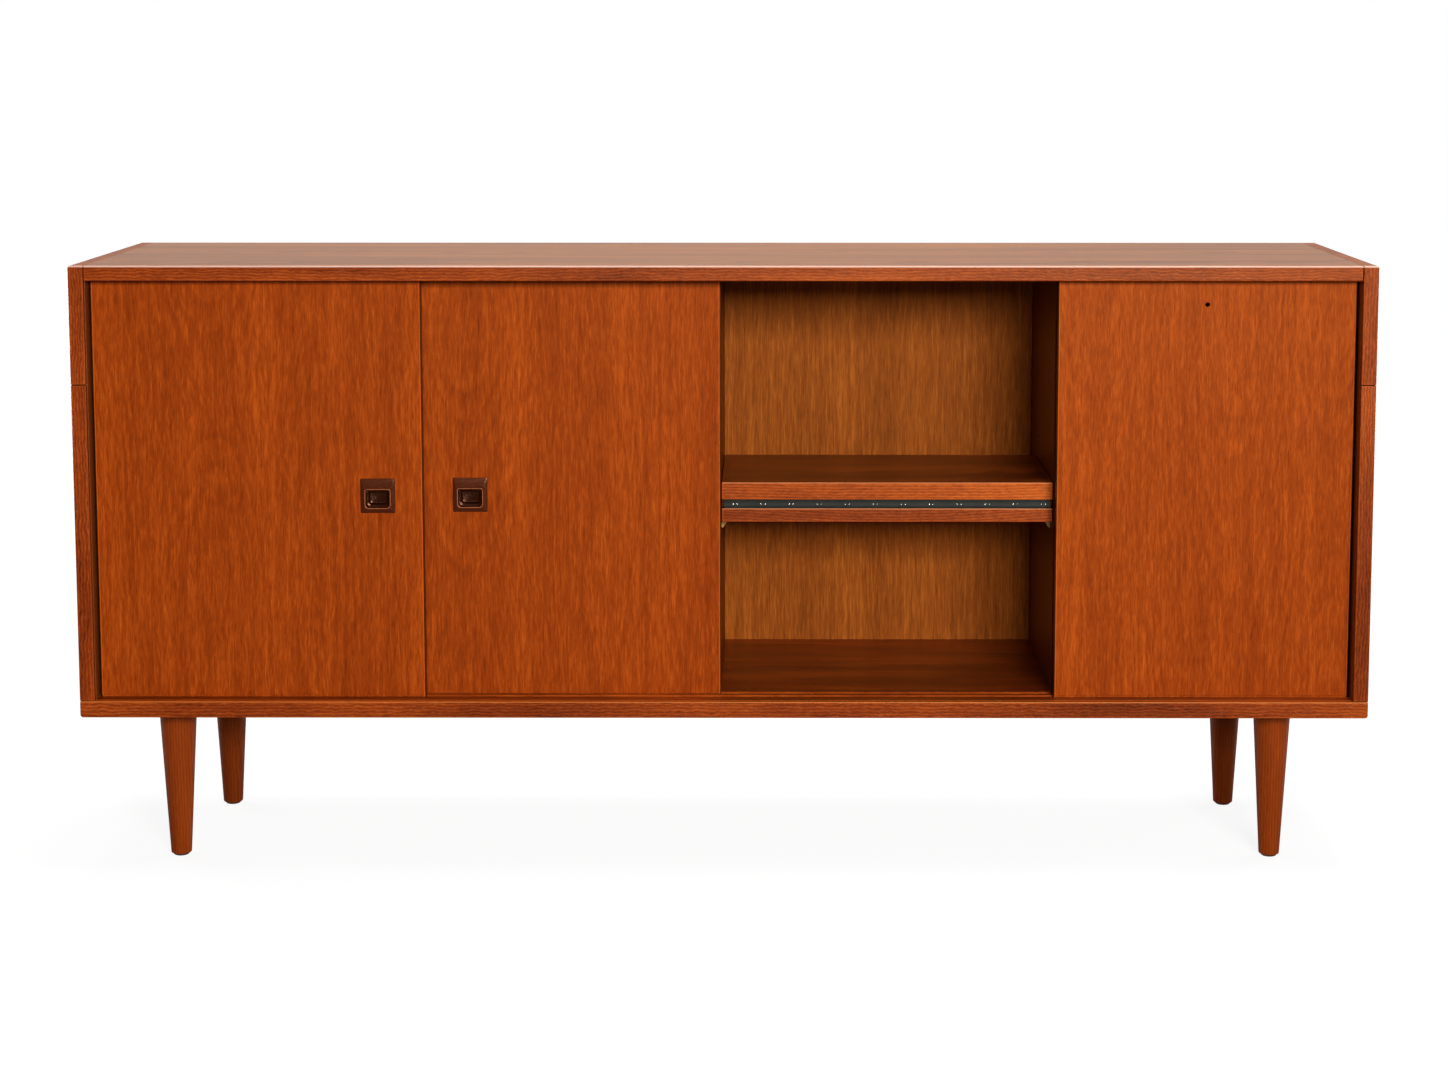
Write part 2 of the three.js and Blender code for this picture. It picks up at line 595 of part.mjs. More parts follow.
const CHANNEL_X = DOUBLE_SHELF_X + CHANNEL_END_GAP;
place(sideboard, "runner_channel", channelGeometry(), darkSteel(), [
  CHANNEL_X,
  CHANNEL_FRONT_Y,
  RUNNER_Z + JOINT_GAP,
]);
place(sideboard, "runner_ball_cage", cageGeometry(), ballSteel(), [
  CHANNEL_X,
  CHANNEL_FRONT_Y,
  RUNNER_Z + 2 * JOINT_GAP + CHANNEL_WALL,
]);

// ---- finger pull: a square frame on the door's face and a cup let through it ----
const PULL_BODY = PULL_SIZE - 2 * PULL_FLANGE;
const PULL_OPENING_WIDTH = PULL_SIZE - 2 * PULL_SIDE_RIM;
const PULL_OPENING_HEIGHT = PULL_SIZE - PULL_UPPER_RIM - PULL_LOWER_RIM;
const PULL_OPENING_Z = -PULL_SIZE / 2 + PULL_LOWER_RIM;

function pullGeometry() {
  const radii = Array(4).fill(PULL_CORNER_RADIUS);
  const bodyDepth = DOOR_THICKNESS - PULL_RECESS_BEHIND;
  const cupDepth = PULL_PROUD + bodyDepth - PULL_FLOOR;
  const flange = extrudeBack(roundedRectangle(PULL_SIZE, PULL_SIZE, radii), PULL_PROUD - JOINT_GAP);
  flange.translate(-PULL_SIZE / 2, -PULL_PROUD, -PULL_SIZE / 2);
  const body = extrudeBack(roundedRectangle(PULL_BODY, PULL_BODY, radii), bodyDepth + PULL_PROUD / 2);
  body.translate(-PULL_BODY / 2, -PULL_PROUD / 2, -PULL_BODY / 2);
  const openingRadii = [PULL_OPENING_RADIUS, PULL_OPENING_RADIUS, PULL_CORNER_RADIUS, PULL_CORNER_RADIUS];
  const opening = roundedRectangle(PULL_OPENING_WIDTH, PULL_OPENING_HEIGHT, openingRadii);
  const cup = extrudeBack(opening, cupDepth + OVERCUT);
  cup.translate(-PULL_OPENING_WIDTH / 2, -PULL_PROUD - OVERCUT, PULL_OPENING_Z);
  return toGeometry(toSolid(flange).add(toSolid(body)).subtract(toSolid(cup)));
}

function pullHole(x, z) {
  const size = PULL_BODY + 2 * JOINT_GAP;
  const radii = Array(4).fill(PULL_CORNER_RADIUS);
  const hole = extrudeBack(roundedRectangle(size, size, radii), DOOR_THICKNESS + 2 * OVERCUT);
  return hole.translate(x - size / 2, -OVERCUT, z - size / 2);
}

// ---- doors, each with its tongues, its glides and its pull ----
const DOOR_SPAN = LEFT_BAY_WIDTH + PARTITION_THICKNESS - DOOR_END_GAP;
const PAIR_DOOR_WIDTH = (DOOR_SPAN + DOOR_OVERLAP) / 2;
const LEFT_DOOR_X = -INNER_X + DOOR_END_GAP;
const LEFT_DOOR_EDGE_X = LEFT_DOOR_X + PAIR_DOOR_WIDTH;
const CENTRE_DOOR_X = MIDDLE_BAY_X - PAIR_DOOR_WIDTH;
const RIGHT_DOOR_WIDTH = INNER_X - DOOR_END_GAP - RIGHT_PARTITION_X;

// Cross-section of a door in Y and Z, from its lower front edge, with a tongue above and below.
function doorOutline(height, sillGap) {
  const front = DOOR_SHOULDER;
  const back = DOOR_THICKNESS - DOOR_SHOULDER;
  const low = -sillGap - LOWER_TONGUE;
  const high = height + DOOR_TOP_GAP + UPPER_TONGUE;
  return [[0, 0], [front, 0], [front, low], [back, low], [back, 0], [DOOR_THICKNESS, 0],
    [DOOR_THICKNESS, height], [back, height], [back, high], [front, high], [front, height], [0, height]];
}

function door({ name, x, width, track, sillGap, pullX, keyHole }) {
  const height = INNER_HEIGHT - DOOR_TOP_GAP - sillGap;
  const group = new THREE.Group();
  group.position.set(x, TRACK_CENTRE_Y - DOOR_THICKNESS / 2 + track * TRACK_PITCH, SILL_Z + sillGap);
  sideboard.add(group);

  const glideZ = -sillGap - LOWER_TRACK_DEPTH + JOINT_GAP;
  const notchTop = glideZ + GLIDE_HEIGHT + JOINT_GAP;
  const glides = [
    { end: "left", x: GLIDE_END_DISTANCE },
    { end: "right", x: width - GLIDE_END_DISTANCE - GLIDE_LENGTH },
  ];
  const cuts = glides.map((glide) =>
    block(
      [glide.x - JOINT_GAP, DOOR_SHOULDER - OVERCUT, glideZ],
      [GLIDE_LENGTH + 2 * JOINT_GAP, TONGUE_THICKNESS + 2 * OVERCUT, notchTop - glideZ],
    ),
  );
  if (pullX !== undefined) cuts.push(pullHole(pullX - x, PULL_HEIGHT));
  if (keyHole) {
    const hole = bar(KEY_HOLE_DIAMETER / 2, -DOOR_THICKNESS - OVERCUT, OVERCUT).rotateX(Math.PI / 2);
    cuts.push(hole.translate(width / 2, 0, height - KEY_HOLE_DROP));
  }
  const panel = extrudeAcross(doorOutline(height, sillGap), width);
  place(group, `${name}_door_panel`, cut(panel, cuts), teakVeneer());

  for (const glide of glides) {
    place(
      group,
      `${name}_door_glide_${glide.end}`,
      block([glide.x, DOOR_SHOULDER, glideZ], [GLIDE_LENGTH, TONGUE_THICKNESS, GLIDE_HEIGHT]),
      nylon(),
    );
  }
  if (pullX !== undefined) {
    place(group, `${name}_door_pull`, pullGeometry(), carvedPull(), [pullX - x, 0, PULL_HEIGHT]);
  }
}

door({
  name: "left",
  x: LEFT_DOOR_X,
  width: PAIR_DOOR_WIDTH,
  track: 0,
  sillGap: FRONT_DOOR_SILL_GAP,
  pullX: LEFT_DOOR_EDGE_X - PULL_TO_LEFT_DOOR_EDGE,
});
door({
  name: "centre",
  x: CENTRE_DOOR_X,
  width: PAIR_DOOR_WIDTH,
  track: 1,
  sillGap: REAR_DOOR_SILL_GAP,
  pullX: LEFT_DOOR_EDGE_X + PULL_TO_LEFT_DOOR_EDGE,
});
door({
  name: "right",
  x: RIGHT_PARTITION_X,
  width: RIGHT_DOOR_WIDTH,
  track: 0,
  sillGap: FRONT_DOOR_SILL_GAP,
  keyHole: true,
});

// ---- stop in the upper front groove, over the centre partition ----
place(
  sideboard,
  "centre_door_stop",
  block(
    [
      CENTRE_PARTITION_X + (PARTITION_THICKNESS - STOP_LENGTH) / 2,
      TRACK_CENTRE_Y - TRACK_WIDTH / 2 + JOINT_GAP,
      CEILING_Z,
    ],
    [STOP_LENGTH, TRACK_WIDTH - 2 * JOINT_GAP, UPPER_TRACK_DEPTH - JOINT_GAP],
  ),
  teakInside(),
);

export default sideboard;
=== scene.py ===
# Looks of a teak sideboard: rounded arrises, turned legs, carved finger pulls, a ball runner, and
# procedural wood and metal. Metres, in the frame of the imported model: +Z up, the front faces -Y.

import itertools
import math

import bmesh
import bpy
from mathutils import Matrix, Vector


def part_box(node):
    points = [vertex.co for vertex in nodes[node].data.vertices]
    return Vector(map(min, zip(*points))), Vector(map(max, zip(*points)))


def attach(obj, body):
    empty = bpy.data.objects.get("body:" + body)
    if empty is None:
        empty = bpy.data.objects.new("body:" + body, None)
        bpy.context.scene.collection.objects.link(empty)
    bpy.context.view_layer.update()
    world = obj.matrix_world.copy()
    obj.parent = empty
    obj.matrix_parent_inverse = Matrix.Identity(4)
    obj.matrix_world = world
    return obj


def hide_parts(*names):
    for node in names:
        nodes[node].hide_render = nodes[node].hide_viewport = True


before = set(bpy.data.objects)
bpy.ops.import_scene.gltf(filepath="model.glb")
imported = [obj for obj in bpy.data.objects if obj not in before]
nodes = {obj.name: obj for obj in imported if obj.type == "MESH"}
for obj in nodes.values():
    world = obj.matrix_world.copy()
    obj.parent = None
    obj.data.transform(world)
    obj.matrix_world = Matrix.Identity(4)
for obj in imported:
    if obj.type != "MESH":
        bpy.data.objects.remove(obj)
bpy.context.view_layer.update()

MM = 0.001


# ---------------------------------------------------------------- material graphs


class Graph:
    """Short calls that add nodes to one material."""

    def __init__(self, name):
        self.material = bpy.data.materials.new(name)
        self.material.use_nodes = True
        self.tree = self.material.node_tree
        self.shader = self.tree.nodes["Principled BSDF"]

    def plug(self, socket, value):
        """Links value to a socket if it is a socket, and sets it otherwise."""
        if isinstance(value, bpy.types.NodeSocket):
            self.tree.links.new(value, socket)
        else:
            socket.default_value = value

    def math(self, operation, *values):
        node = self.tree.nodes.new("ShaderNodeMath")
        node.operation = operation
        for socket, value in zip(node.inputs, values):
            self.plug(socket, value)
        return node.outputs[0]

    def add(self, a, b):
        return self.math("ADD", a, b)

    def mul(self, a, b):
        return self.math("MULTIPLY", a, b)

    def vector(self, x, y, z):
        node = self.tree.nodes.new("ShaderNodeCombineXYZ")
        for socket, value in zip(node.inputs, (x, y, z)):
            self.plug(socket, value)
        return node.outputs[0]

    def position(self):
        """The point's place in the part's frame, in metres, as three sockets."""
        coordinates = self.tree.nodes.new("ShaderNodeTexCoord")
        split = self.tree.nodes.new("ShaderNodeSeparateXYZ")
        self.plug(split.inputs[0], coordinates.outputs["Object"])
        return split.outputs

    def scaled(self, place, *scales):
        """The three coordinates of a place, each times a number."""
        return self.vector(*(self.mul(along, scale) for along, scale in zip(place, scales)))

    def noise(self, vector, detail=2.0, roughness=0.5, distortion=0.0):
        """Noise of a vector that is already scaled, from 0 to 1."""
        node = self.tree.nodes.new("ShaderNodeTexNoise")
        self.plug(node.inputs["Vector"], vector)
        node.inputs["Scale"].default_value = 1.0
        node.inputs["Detail"].default_value = detail
        node.inputs["Roughness"].default_value = roughness
        node.inputs["Distortion"].default_value = distortion
        return node.outputs[0]

    def white(self, value):
        """A steady random number from 0 to 1 for each value."""
        node = self.tree.nodes.new("ShaderNodeTexWhiteNoise")
        node.noise_dimensions = "1D"
        self.plug(node.inputs["W"], value)
        return node.outputs[0]

    def span(self, value, low, high, to_low=0.0, to_high=1.0, smooth=False):
        """Maps low to high on to to_low to to_high, held at both ends."""
        node = self.tree.nodes.new("ShaderNodeMapRange")
        node.interpolation_type = "SMOOTHSTEP" if smooth else "LINEAR"
        self.plug(node.inputs["Value"], value)
        limits = {"From Min": low, "From Max": high, "To Min": to_low, "To Max": to_high}
        for name, limit in limits.items():
            self.plug(node.inputs[name], limit)
        return node.outputs[0]

    def ramp(self, value, stops):
        """A colour ramp over (place, colour) stops."""
        node = self.tree.nodes.new("ShaderNodeValToRGB")
        self.plug(node.inputs[0], value)
        elements = node.color_ramp.elements
        while len(elements) < len(stops):
            elements.new(0.5)
        for element, (place, colour) in zip(elements, stops):
            element.position = place
            element.color = (*colour, 1.0)
        return node.outputs[0]

    def mix(self, share, a, b, blend="MIX"):
        """Goes from the colour a to the colour b, or to a blended with b, by a share."""
        node = self.tree.nodes.new("ShaderNodeMix")
        node.data_type = "RGBA"
        node.blend_type = blend
        self.plug(node.inputs["Factor"], share)
        for socket, value in ((node.inputs["A"], a), (node.inputs["B"], b)):
            self.plug(socket, value if isinstance(value, bpy.types.NodeSocket) else (*value, 1.0))
        return node.outputs["Result"]

    def bump(self, height, distance):
        """Raises the surface by a height of 0 to 1, times a distance."""
        node = self.tree.nodes.new("ShaderNodeBump")
        node.inputs["Distance"].default_value = distance
        self.plug(node.inputs["Height"], height)
        self.plug(self.shader.inputs["Normal"], node.outputs[0])

    def surface(self, colour, roughness, **constants):
        """Plugs the colour and the roughness, and sets what is constant on the shader's own sockets."""
        self.plug(self.shader.inputs["Base Color"], colour)
        self.plug(self.shader.inputs["Roughness"], roughness)
        for name, value in constants.items():
            self.shader.inputs[name.replace("_", " ")].default_value = value
        return self.material


# ---------------------------------------------------------------- wood

OILED_SHEEN = {"Specular_IOR_Level": 0.42, "Specular_Tint": (1.0, 0.36, 0.12, 1.0)}
SOLID_SHEEN = {"Specular_IOR_Level": 0.45, "Specular_Tint": (1.0, 0.50, 0.26, 1.0)}
TOP_SHEEN = {"Specular_IOR_Level": 0.75, "Specular_Tint": (1.0, 0.80, 0.68, 1.0)}
PULL_SHEEN = {"Specular_IOR_Level": 0.45, "Specular_Tint": (1.0, 0.46, 0.26, 1.0)}

# Colours are linear: (dark, middle, light). leaf is the width of a veneer leaf, and rings the growth rings
# to a metre. sway and ripple are how far slow and short waves carry the figure sideways. figure, fibre and
# tone are the strengths of the growth rings, the fine streaks and the broad bands, and length stretches
# the streaks.
LOOKS = {
    "door": {
        "colours": ((0.150, 0.0145, 0.0008), (0.335, 0.0455, 0.0028), (0.62, 0.106, 0.008)),
        "leaf": 0.157, "rings": 150, "sway": 0.010, "ripple": 0.0040, "figure": 0.18, "fibre": 0.90,
        "tone": 0.40, "length": 1.0, "roughness": 0.40, "sheen": OILED_SHEEN,
    },
    "veneer": {
        "colours": ((0.165, 0.0170, 0.0012), (0.33, 0.0460, 0.0035), (0.54, 0.092, 0.008)),
        "leaf": 0.190, "rings": 130, "sway": 0.014, "ripple": 0.0040, "figure": 0.40, "fibre": 0.80,
        "tone": 1.20, "length": 1.0, "roughness": 0.38, "sheen": OILED_SHEEN,
    },
    "top": {
        "colours": ((0.200, 0.0480, 0.0040), (0.33, 0.1000, 0.0110), (0.50, 0.165, 0.022)),
        "leaf": 0.190, "rings": 130, "sway": 0.014, "ripple": 0.0040, "figure": 0.60, "fibre": 1.10,
        "tone": 1.90, "length": 1.0, "roughness": 0.32, "sheen": TOP_SHEEN,
    },
    "lipping": {
        "colours": ((0.105, 0.0110, 0.0009), (0.275, 0.0360, 0.0034), (0.51, 0.090, 0.010)),
        "leaf": None, "rings": 260, "sway": 0.030, "ripple": 0.0070, "figure": 0.70, "fibre": 0.85,
        "tone": 1.20, "length": 0.40, "roughness": 0.34, "sheen": SOLID_SHEEN,
    },
    "shelf_front": {
        "colours": ((0.16, 0.0170, 0.0012), (0.39, 0.0580, 0.0048), (0.68, 0.130, 0.012)),
        "leaf": None, "rings": 260, "sway": 0.030, "ripple": 0.0080, "figure": 0.70, "fibre": 0.85,
        "tone": 1.20, "length": 0.40, "roughness": 0.36, "sheen": SOLID_SHEEN,
    },
    # Painted shade: the parts inside the carcass have the veneer's colours darkened, for the shade they lie
    # in.
    "shaded_interior": {
        "colours": ((0.055, 0.0080, 0.0005), (0.115, 0.0200, 0.0012), (0.20, 0.040, 0.0030)),
        "leaf": 0.170, "rings": 130, "sway": 0.012, "ripple": 0.0040, "figure": 0.30, "fibre": 0.50,
        "tone": 0.80, "length": 1.0, "roughness": 0.42, "sheen": OILED_SHEEN,
    },
    "back": {
        "colours": ((0.10, 0.0190, 0.0014), (0.28, 0.0620, 0.0055), (0.52, 0.140, 0.015)),
        "leaf": 0.240, "rings": 90, "sway": 0.006, "ripple": 0.0022, "figure": 0.14, "fibre": 1.00,
        "tone": 0.45, "length": 1.4, "roughness": 0.50, "sheen": OILED_SHEEN,
    },
    "leg": {
        "colours": ((0.13, 0.0135, 0.0010), (0.27, 0.0390, 0.0034), (0.42, 0.072, 0.007)),
        "leaf": None, "rings": 260, "sway": 0.008, "ripple": 0.0030, "figure": 0.50, "fibre": 0.50,
        "tone": 0.50, "length": 0.8, "roughness": 0.34, "sheen": SOLID_SHEEN,
    },
    "pull": {
        "colours": ((0.026, 0.0040, 0.0009), (0.076, 0.0130, 0.0032), (0.140, 0.028, 0.008)),
        "leaf": None, "rings": 300, "sway": 0.003, "ripple": 0.0020, "figure": 0.22, "fibre": 0.26,
        "tone": 0.35, "length": 0.3, "roughness": 0.25, "sheen": PULL_SHEEN,
    },
}
LOOKS["side"] = {
    **LOOKS["veneer"],
    "colours": ((0.175, 0.0300, 0.0026), (0.33, 0.0720, 0.0070), (0.52, 0.130, 0.014)),
    "tone": 0.80,
    "sheen": TOP_SHEEN,
}

# Which of the three coordinates run across the grain, through the face, and along the grain.
GRAIN_UPRIGHT_FRONT = (0, 1, 2)
GRAIN_UPRIGHT_SIDE = (1, 0, 2)
GRAIN_LEVEL_FRONT = (2, 1, 0)
GRAIN_LEVEL_TOP = (1, 2, 0)
GRAIN_FRONT_TO_BACK = (2, 0, 1)


def arris_distance(graph, place, low, high):
    """How far a point on a box's surface is from its nearest arris.
    That is the second least of its distances to the box's sides."""
    gaps = []
    for axis in range(3):
        middle, half = (low[axis] + high[axis]) / 2, (high[axis] - low[axis]) / 2
        off = graph.math("ABSOLUTE", graph.add(place[axis], -middle))
        gaps.append(graph.math("MAXIMUM", graph.math("SUBTRACT", half, off), 0.0))
    least = graph.math("MINIMUM", gaps[0], gaps[1])
    most = graph.math("MAXIMUM", gaps[0], gaps[1])
    return graph.math("MAXIMUM", least, graph.math("MINIMUM", most, gaps[2]))


# Dark joints where pieces meet, and painted shade in the gaps beside the doors.
SEAM_WIDTH = 0.8 * MM
SEAM_AND_GAP_SHADE_EDGE = 0.15 * MM  # half the width over which a dark joint, and the painted shade in a door's gap, fades out
SEAM_AND_GAP_SHADE_STRENGTH = 0.92
SEAM_AND_GAP_SHADE_COLOUR = (0.010, 0.0024, 0.0010)

# Streaks along the grain: width and length in metres, then the noise's detail, roughness and distortion.
FIBRE = (1.6 * MM, 18 * MM, 2.0, 0.6, 0.4)
FLECK = (3.0 * MM, 45 * MM, 2.0, 0.6, 0.4)
STREAK = (8.0 * MM, 160 * MM, 2.0, 0.5, 0.0)
PORE = (0.9 * MM, 14 * MM, 1.0, 0.5, 0.0)
TONE = (45 * MM, 800 * MM, 2.0, 0.45, 0.0)
FLECK_SHARE = 0.75  # of the fibre's strength
STREAK_SHARE = 0.40
PORE_DARKENING = 0.10
PORE_RANGE = (0.60, 0.74)  # the noise values over which a pore opens

# Cycles to a metre, across and along the grain.
WAVE_SCALE = (9.0, 2.2)
RIPPLE_SCALE = (55.0, 38.0)
CLOUD_SCALE = (5.0, 32.0, 32.0)
CLOUD_RANGE = (0.35, 0.65)

# A growth ring lightens slowly and ends sharply. These are shares of the ring's width.
RING_RISE_END = 0.72
RING_FALL_START = 0.86
LEAF_HEART = 0.42  # where the heart lies in a veneer leaf, as a share of its width
HEART_SLOPE = 0.16  # how far under the leaf the heart wanders, in metres
SOLID_HEART = (30 * MM, 50 * MM)  # the heart of a solid piece, aside and behind
HEART_SWAY = 50 * MM

# Rubbed arrises: the finish is thin nearest to them, in a ragged band.
RUB_RANGE = (0.4 * MM, 2.6 * MM)
RUB_RAGGED = 3.0 * MM  # how much the band's width varies
RUB_STRENGTH = 0.5
EDGE_BAND_STRENGTH = 0.50
RUBBED_LIGHTNESS = 1.5  # times the look's light colour
RUBBED_SHEEN = 0.10  # how much smoother it is
# A painted highlight along an upper front arris: how strong it is, and the share of its width that is full.
ARRIS_HIGHLIGHT_STRENGTH = 0.85
ARRIS_HIGHLIGHT_CORE = 0.6  # the share of its width that is fully pale
ROUGHNESS_SPREAD = 0.16
GRAIN_DEPTH = 0.12 * MM

# Steps that keep one piece's figure from repeating another's.
SEED_ACROSS = 1.37
SEED_ACROSS_START = 0.21
SEED_ALONG = 3.1


def inset_from_ends(graph, place, box, axis):
    """How far in a point is from the nearer end of a box along one axis."""
    low, high = box[0][axis], box[1][axis]
    off = graph.math("ABSOLUTE", graph.add(place[axis], -(low + high) / 2))
    return graph.math("SUBTRACT", (high - low) / 2, off)


def wood(name, look, grain, seed, box=None, wear=1.0, edge_band=0.0, seam=None, shades=(), clouds=0.0,
         pale_arris=None):
    """Wood with its grain along one axis: growth rings, fibres, pores, broad tone and rubbed arrises.
    edge_band is the width of a lighter strip along the two edges of the box that the grain runs beside: a
    solid lipping, lightened as a painted highlight on the arris.
    seam is an axis whose two ends are dark, and how far the dark reaches in: a dark joint where a piece
    meets a neighbour, and on the doors painted shade in the gaps beside them.
    Each of shades is (axis, from, to, share): past that place the colour is that share of itself, as painted
    shade where the share is below one and as a painted highlight where it is above, and clouds is how
    strongly broad patches lighten and darken it there.
    pale_arris is the colour and width of a painted highlight along the upper front arris."""
    settings = LOOKS[look]
    dark, middle, light = settings["colours"]
    graph = Graph(name)
    place = graph.position()
    across, through, along = (place[axis] for axis in grain)
    shift = SEED_ACROSS * seed + SEED_ACROSS_START
    across = graph.add(across, shift)
    along = graph.add(along, SEED_ALONG * seed)

    def pattern(side, width, length, detail, roughness, distortion):
        """Noise drawn out along the grain: width and length are in metres."""
        length *= settings["length"]
        spot = graph.scaled((side, along, through), 1 / width, 1 / length, 1 / width)
        return graph.noise(spot, detail, roughness, distortion)

    def swing(scale, layer, detail):
        """Noise that is the same all through the thickness."""
        spot = graph.vector(graph.mul(across, scale[0]), graph.mul(along, scale[1]), layer)
        return graph.noise(spot, detail)

    def part(value, strength):
        """A value from 0 to 1 as a step up or down."""
        return graph.mul(graph.add(value, -0.5), strength)

    # slow waves and short ripples that carry the whole figure with them
    wave = swing(WAVE_SCALE, seed, 1.0)
    ripple = swing(RIPPLE_SCALE, seed + 5.0, 2.0)
    drift = graph.add(part(wave, settings["sway"]), part(ripple, settings["ripple"]))
    carried = graph.add(across, drift)

    # growth rings: circles round a heart that lies under each veneer leaf, or beside a solid piece
    if settings["leaf"]:
        leaf = settings["leaf"]
        leaf_number = graph.math("FLOOR", graph.math("DIVIDE", across, leaf))
        chance = graph.white(graph.add(leaf_number, seed))
        aside = graph.add(graph.math("PINGPONG", across, leaf), -LEAF_HEART * leaf)
        aside = graph.add(aside, drift)
        slope = graph.noise(graph.vector(graph.mul(chance, 9.0), graph.mul(along, 1.6), seed + 9.0), 1.0)
        heart = graph.add(graph.mul(slope, HEART_SLOPE), graph.mul(ripple, settings["ripple"]))
    else:
        aside = graph.add(carried, SOLID_HEART[0] - shift)
        heart = graph.add(graph.add(through, SOLID_HEART[1]), part(wave, HEART_SWAY))
    radius = graph.math("SQRT", graph.add(graph.mul(aside, aside), graph.mul(heart, heart)))
    ring = graph.math("FRACT", graph.mul(radius, settings["rings"]))
    rise = graph.span(ring, 0.0, RING_RISE_END, smooth=True)
    fall = graph.span(ring, RING_FALL_START, 1.0, 1.0, 0.0, smooth=True)
    ring = graph.mul(rise, fall)

    fibre = pattern(carried, *FIBRE)
    fleck = pattern(carried, *FLECK)
    streak = pattern(carried, *STREAK)
    pore = graph.span(pattern(carried, *PORE), *PORE_RANGE)
    tone = pattern(carried, *TONE)

    value = graph.add(part(ring, settings["figure"] * 0.5), part(fibre, settings["fibre"]))
    value = graph.add(value, part(fleck, settings["fibre"] * FLECK_SHARE))
    value = graph.add(value, part(streak, settings["fibre"] * STREAK_SHARE))
    value = graph.add(value, part(tone, settings["tone"]))
    value = graph.add(graph.add(value, graph.mul(pore, -PORE_DARKENING)), 0.5)
    colour = graph.ramp(value, ((0.0, dark), (0.5, middle), (1.0, light)))

    # Painted shade past a place along one axis, and on the pulls' beads a painted highlight.
    for axis, start, end, share in shades:
        past = graph.span(place[axis], start, end)
        tint = share if isinstance(share, tuple) else (share, share, share)
        shaded = graph.mix(1.0, colour, tint, "MULTIPLY")
        if clouds:
            cloud = graph.noise(graph.scaled(place, *CLOUD_SCALE))
            patch = graph.span(cloud, *CLOUD_RANGE, 1 - clouds, 1 + clouds)
            shaded = graph.mix(1.0, shaded, graph.vector(patch, patch, patch), "MULTIPLY")
        colour = graph.mix(past, colour, shaded)

    roughness = graph.add(settings["roughness"], part(fibre, ROUGHNESS_SPREAD))
    if box is not None:
        distance = arris_distance(graph, place, *box)
        broken = graph.add(distance, part(ripple, RUB_RAGGED))
        bare = graph.span(broken, *RUB_RANGE, 1.0, 0.0, smooth=True)
        rubbed = graph.mul(bare, RUB_STRENGTH * wear)
        # The edge strip: a solid lipping, lightened as a painted highlight on the arris.
        if edge_band:
            inset = inset_from_ends(graph, place, box, grain[0])
            fade = (edge_band - 0.2 * MM, edge_band + 0.2 * MM)
            strip = graph.span(inset, *fade, EDGE_BAND_STRENGTH, 0.0)
            rubbed = graph.math("MAXIMUM", rubbed, strip)
        colour = graph.mix(rubbed, colour, tuple(RUBBED_LIGHTNESS * c for c in light))
        roughness = graph.add(roughness, graph.mul(rubbed, -RUBBED_SHEEN))
    # Dark ends: joints where a piece meets a neighbour, and on the doors painted shade in the gaps.
    if seam is not None:
        axis, reach = seam
        inset = inset_from_ends(graph, place, box, axis)
        line = graph.span(inset, reach - SEAM_AND_GAP_SHADE_EDGE, reach + SEAM_AND_GAP_SHADE_EDGE, SEAM_AND_GAP_SHADE_STRENGTH, 0.0)
        colour = graph.mix(line, colour, SEAM_AND_GAP_SHADE_COLOUR)
    # A painted highlight along the upper front arris.
    if pale_arris is not None:
        pale, reach = pale_arris
        front, top = box[0][1], box[1][2]
        near_front = graph.span(place[1], front + reach, front + ARRIS_HIGHLIGHT_CORE * reach)
        near_top = graph.span(place[2], top - reach, top - ARRIS_HIGHLIGHT_CORE * reach)
        line = graph.mul(graph.mul(near_front, near_top), ARRIS_HIGHLIGHT_STRENGTH)
        colour = graph.mix(line, colour, pale)
    height = graph.add(graph.mul(fibre, 0.5), graph.mul(pore, -0.7))
    graph.bump(height, GRAIN_DEPTH)
    return graph.surface(colour, roughness, **settings["sheen"])


# ---------------------------------------------------------------- other materials


SCRATCH_LENGTH_SCALE = 60.0  # cycles to a metre along X
PATCH_SCALE = 35.0
SCRATCH_DEPTH = 0.05 * MM
NYLON_SKIN_SCALE = 900.0
NYLON_SCUFF_SCALE = (60.0, 240.0, 240.0)
NYLON_SKIN_DEPTH = 0.04 * MM


def metal(name, colour, roughness, grain_scale, metallic=1.0):
    """Worked metal: fine scratches along X, dull patches and a trace of wear."""
    graph = Graph(name)
    place = graph.position()
    scratch = graph.noise(graph.scaled(place, SCRATCH_LENGTH_SCALE, grain_scale, grain_scale), 3.0, 0.6)
    patch = graph.noise(graph.scaled(place, PATCH_SCALE, PATCH_SCALE, PATCH_SCALE))
    dark = tuple(0.72 * c for c in colour)
    light = tuple(min(1.0, 1.18 * c) for c in colour)
    both = graph.add(graph.mul(scratch, 0.5), graph.mul(patch, 0.5))
    tint = graph.ramp(both, ((0.3, dark), (0.7, light)))
    dulled = graph.add(scratch, graph.mul(patch, 0.6))
    rough = graph.span(dulled, 0.4, 1.2, roughness - 0.08, roughness + 0.12)
    graph.bump(scratch, SCRATCH_DEPTH)
    return graph.surface(tint, rough, Metallic=metallic)


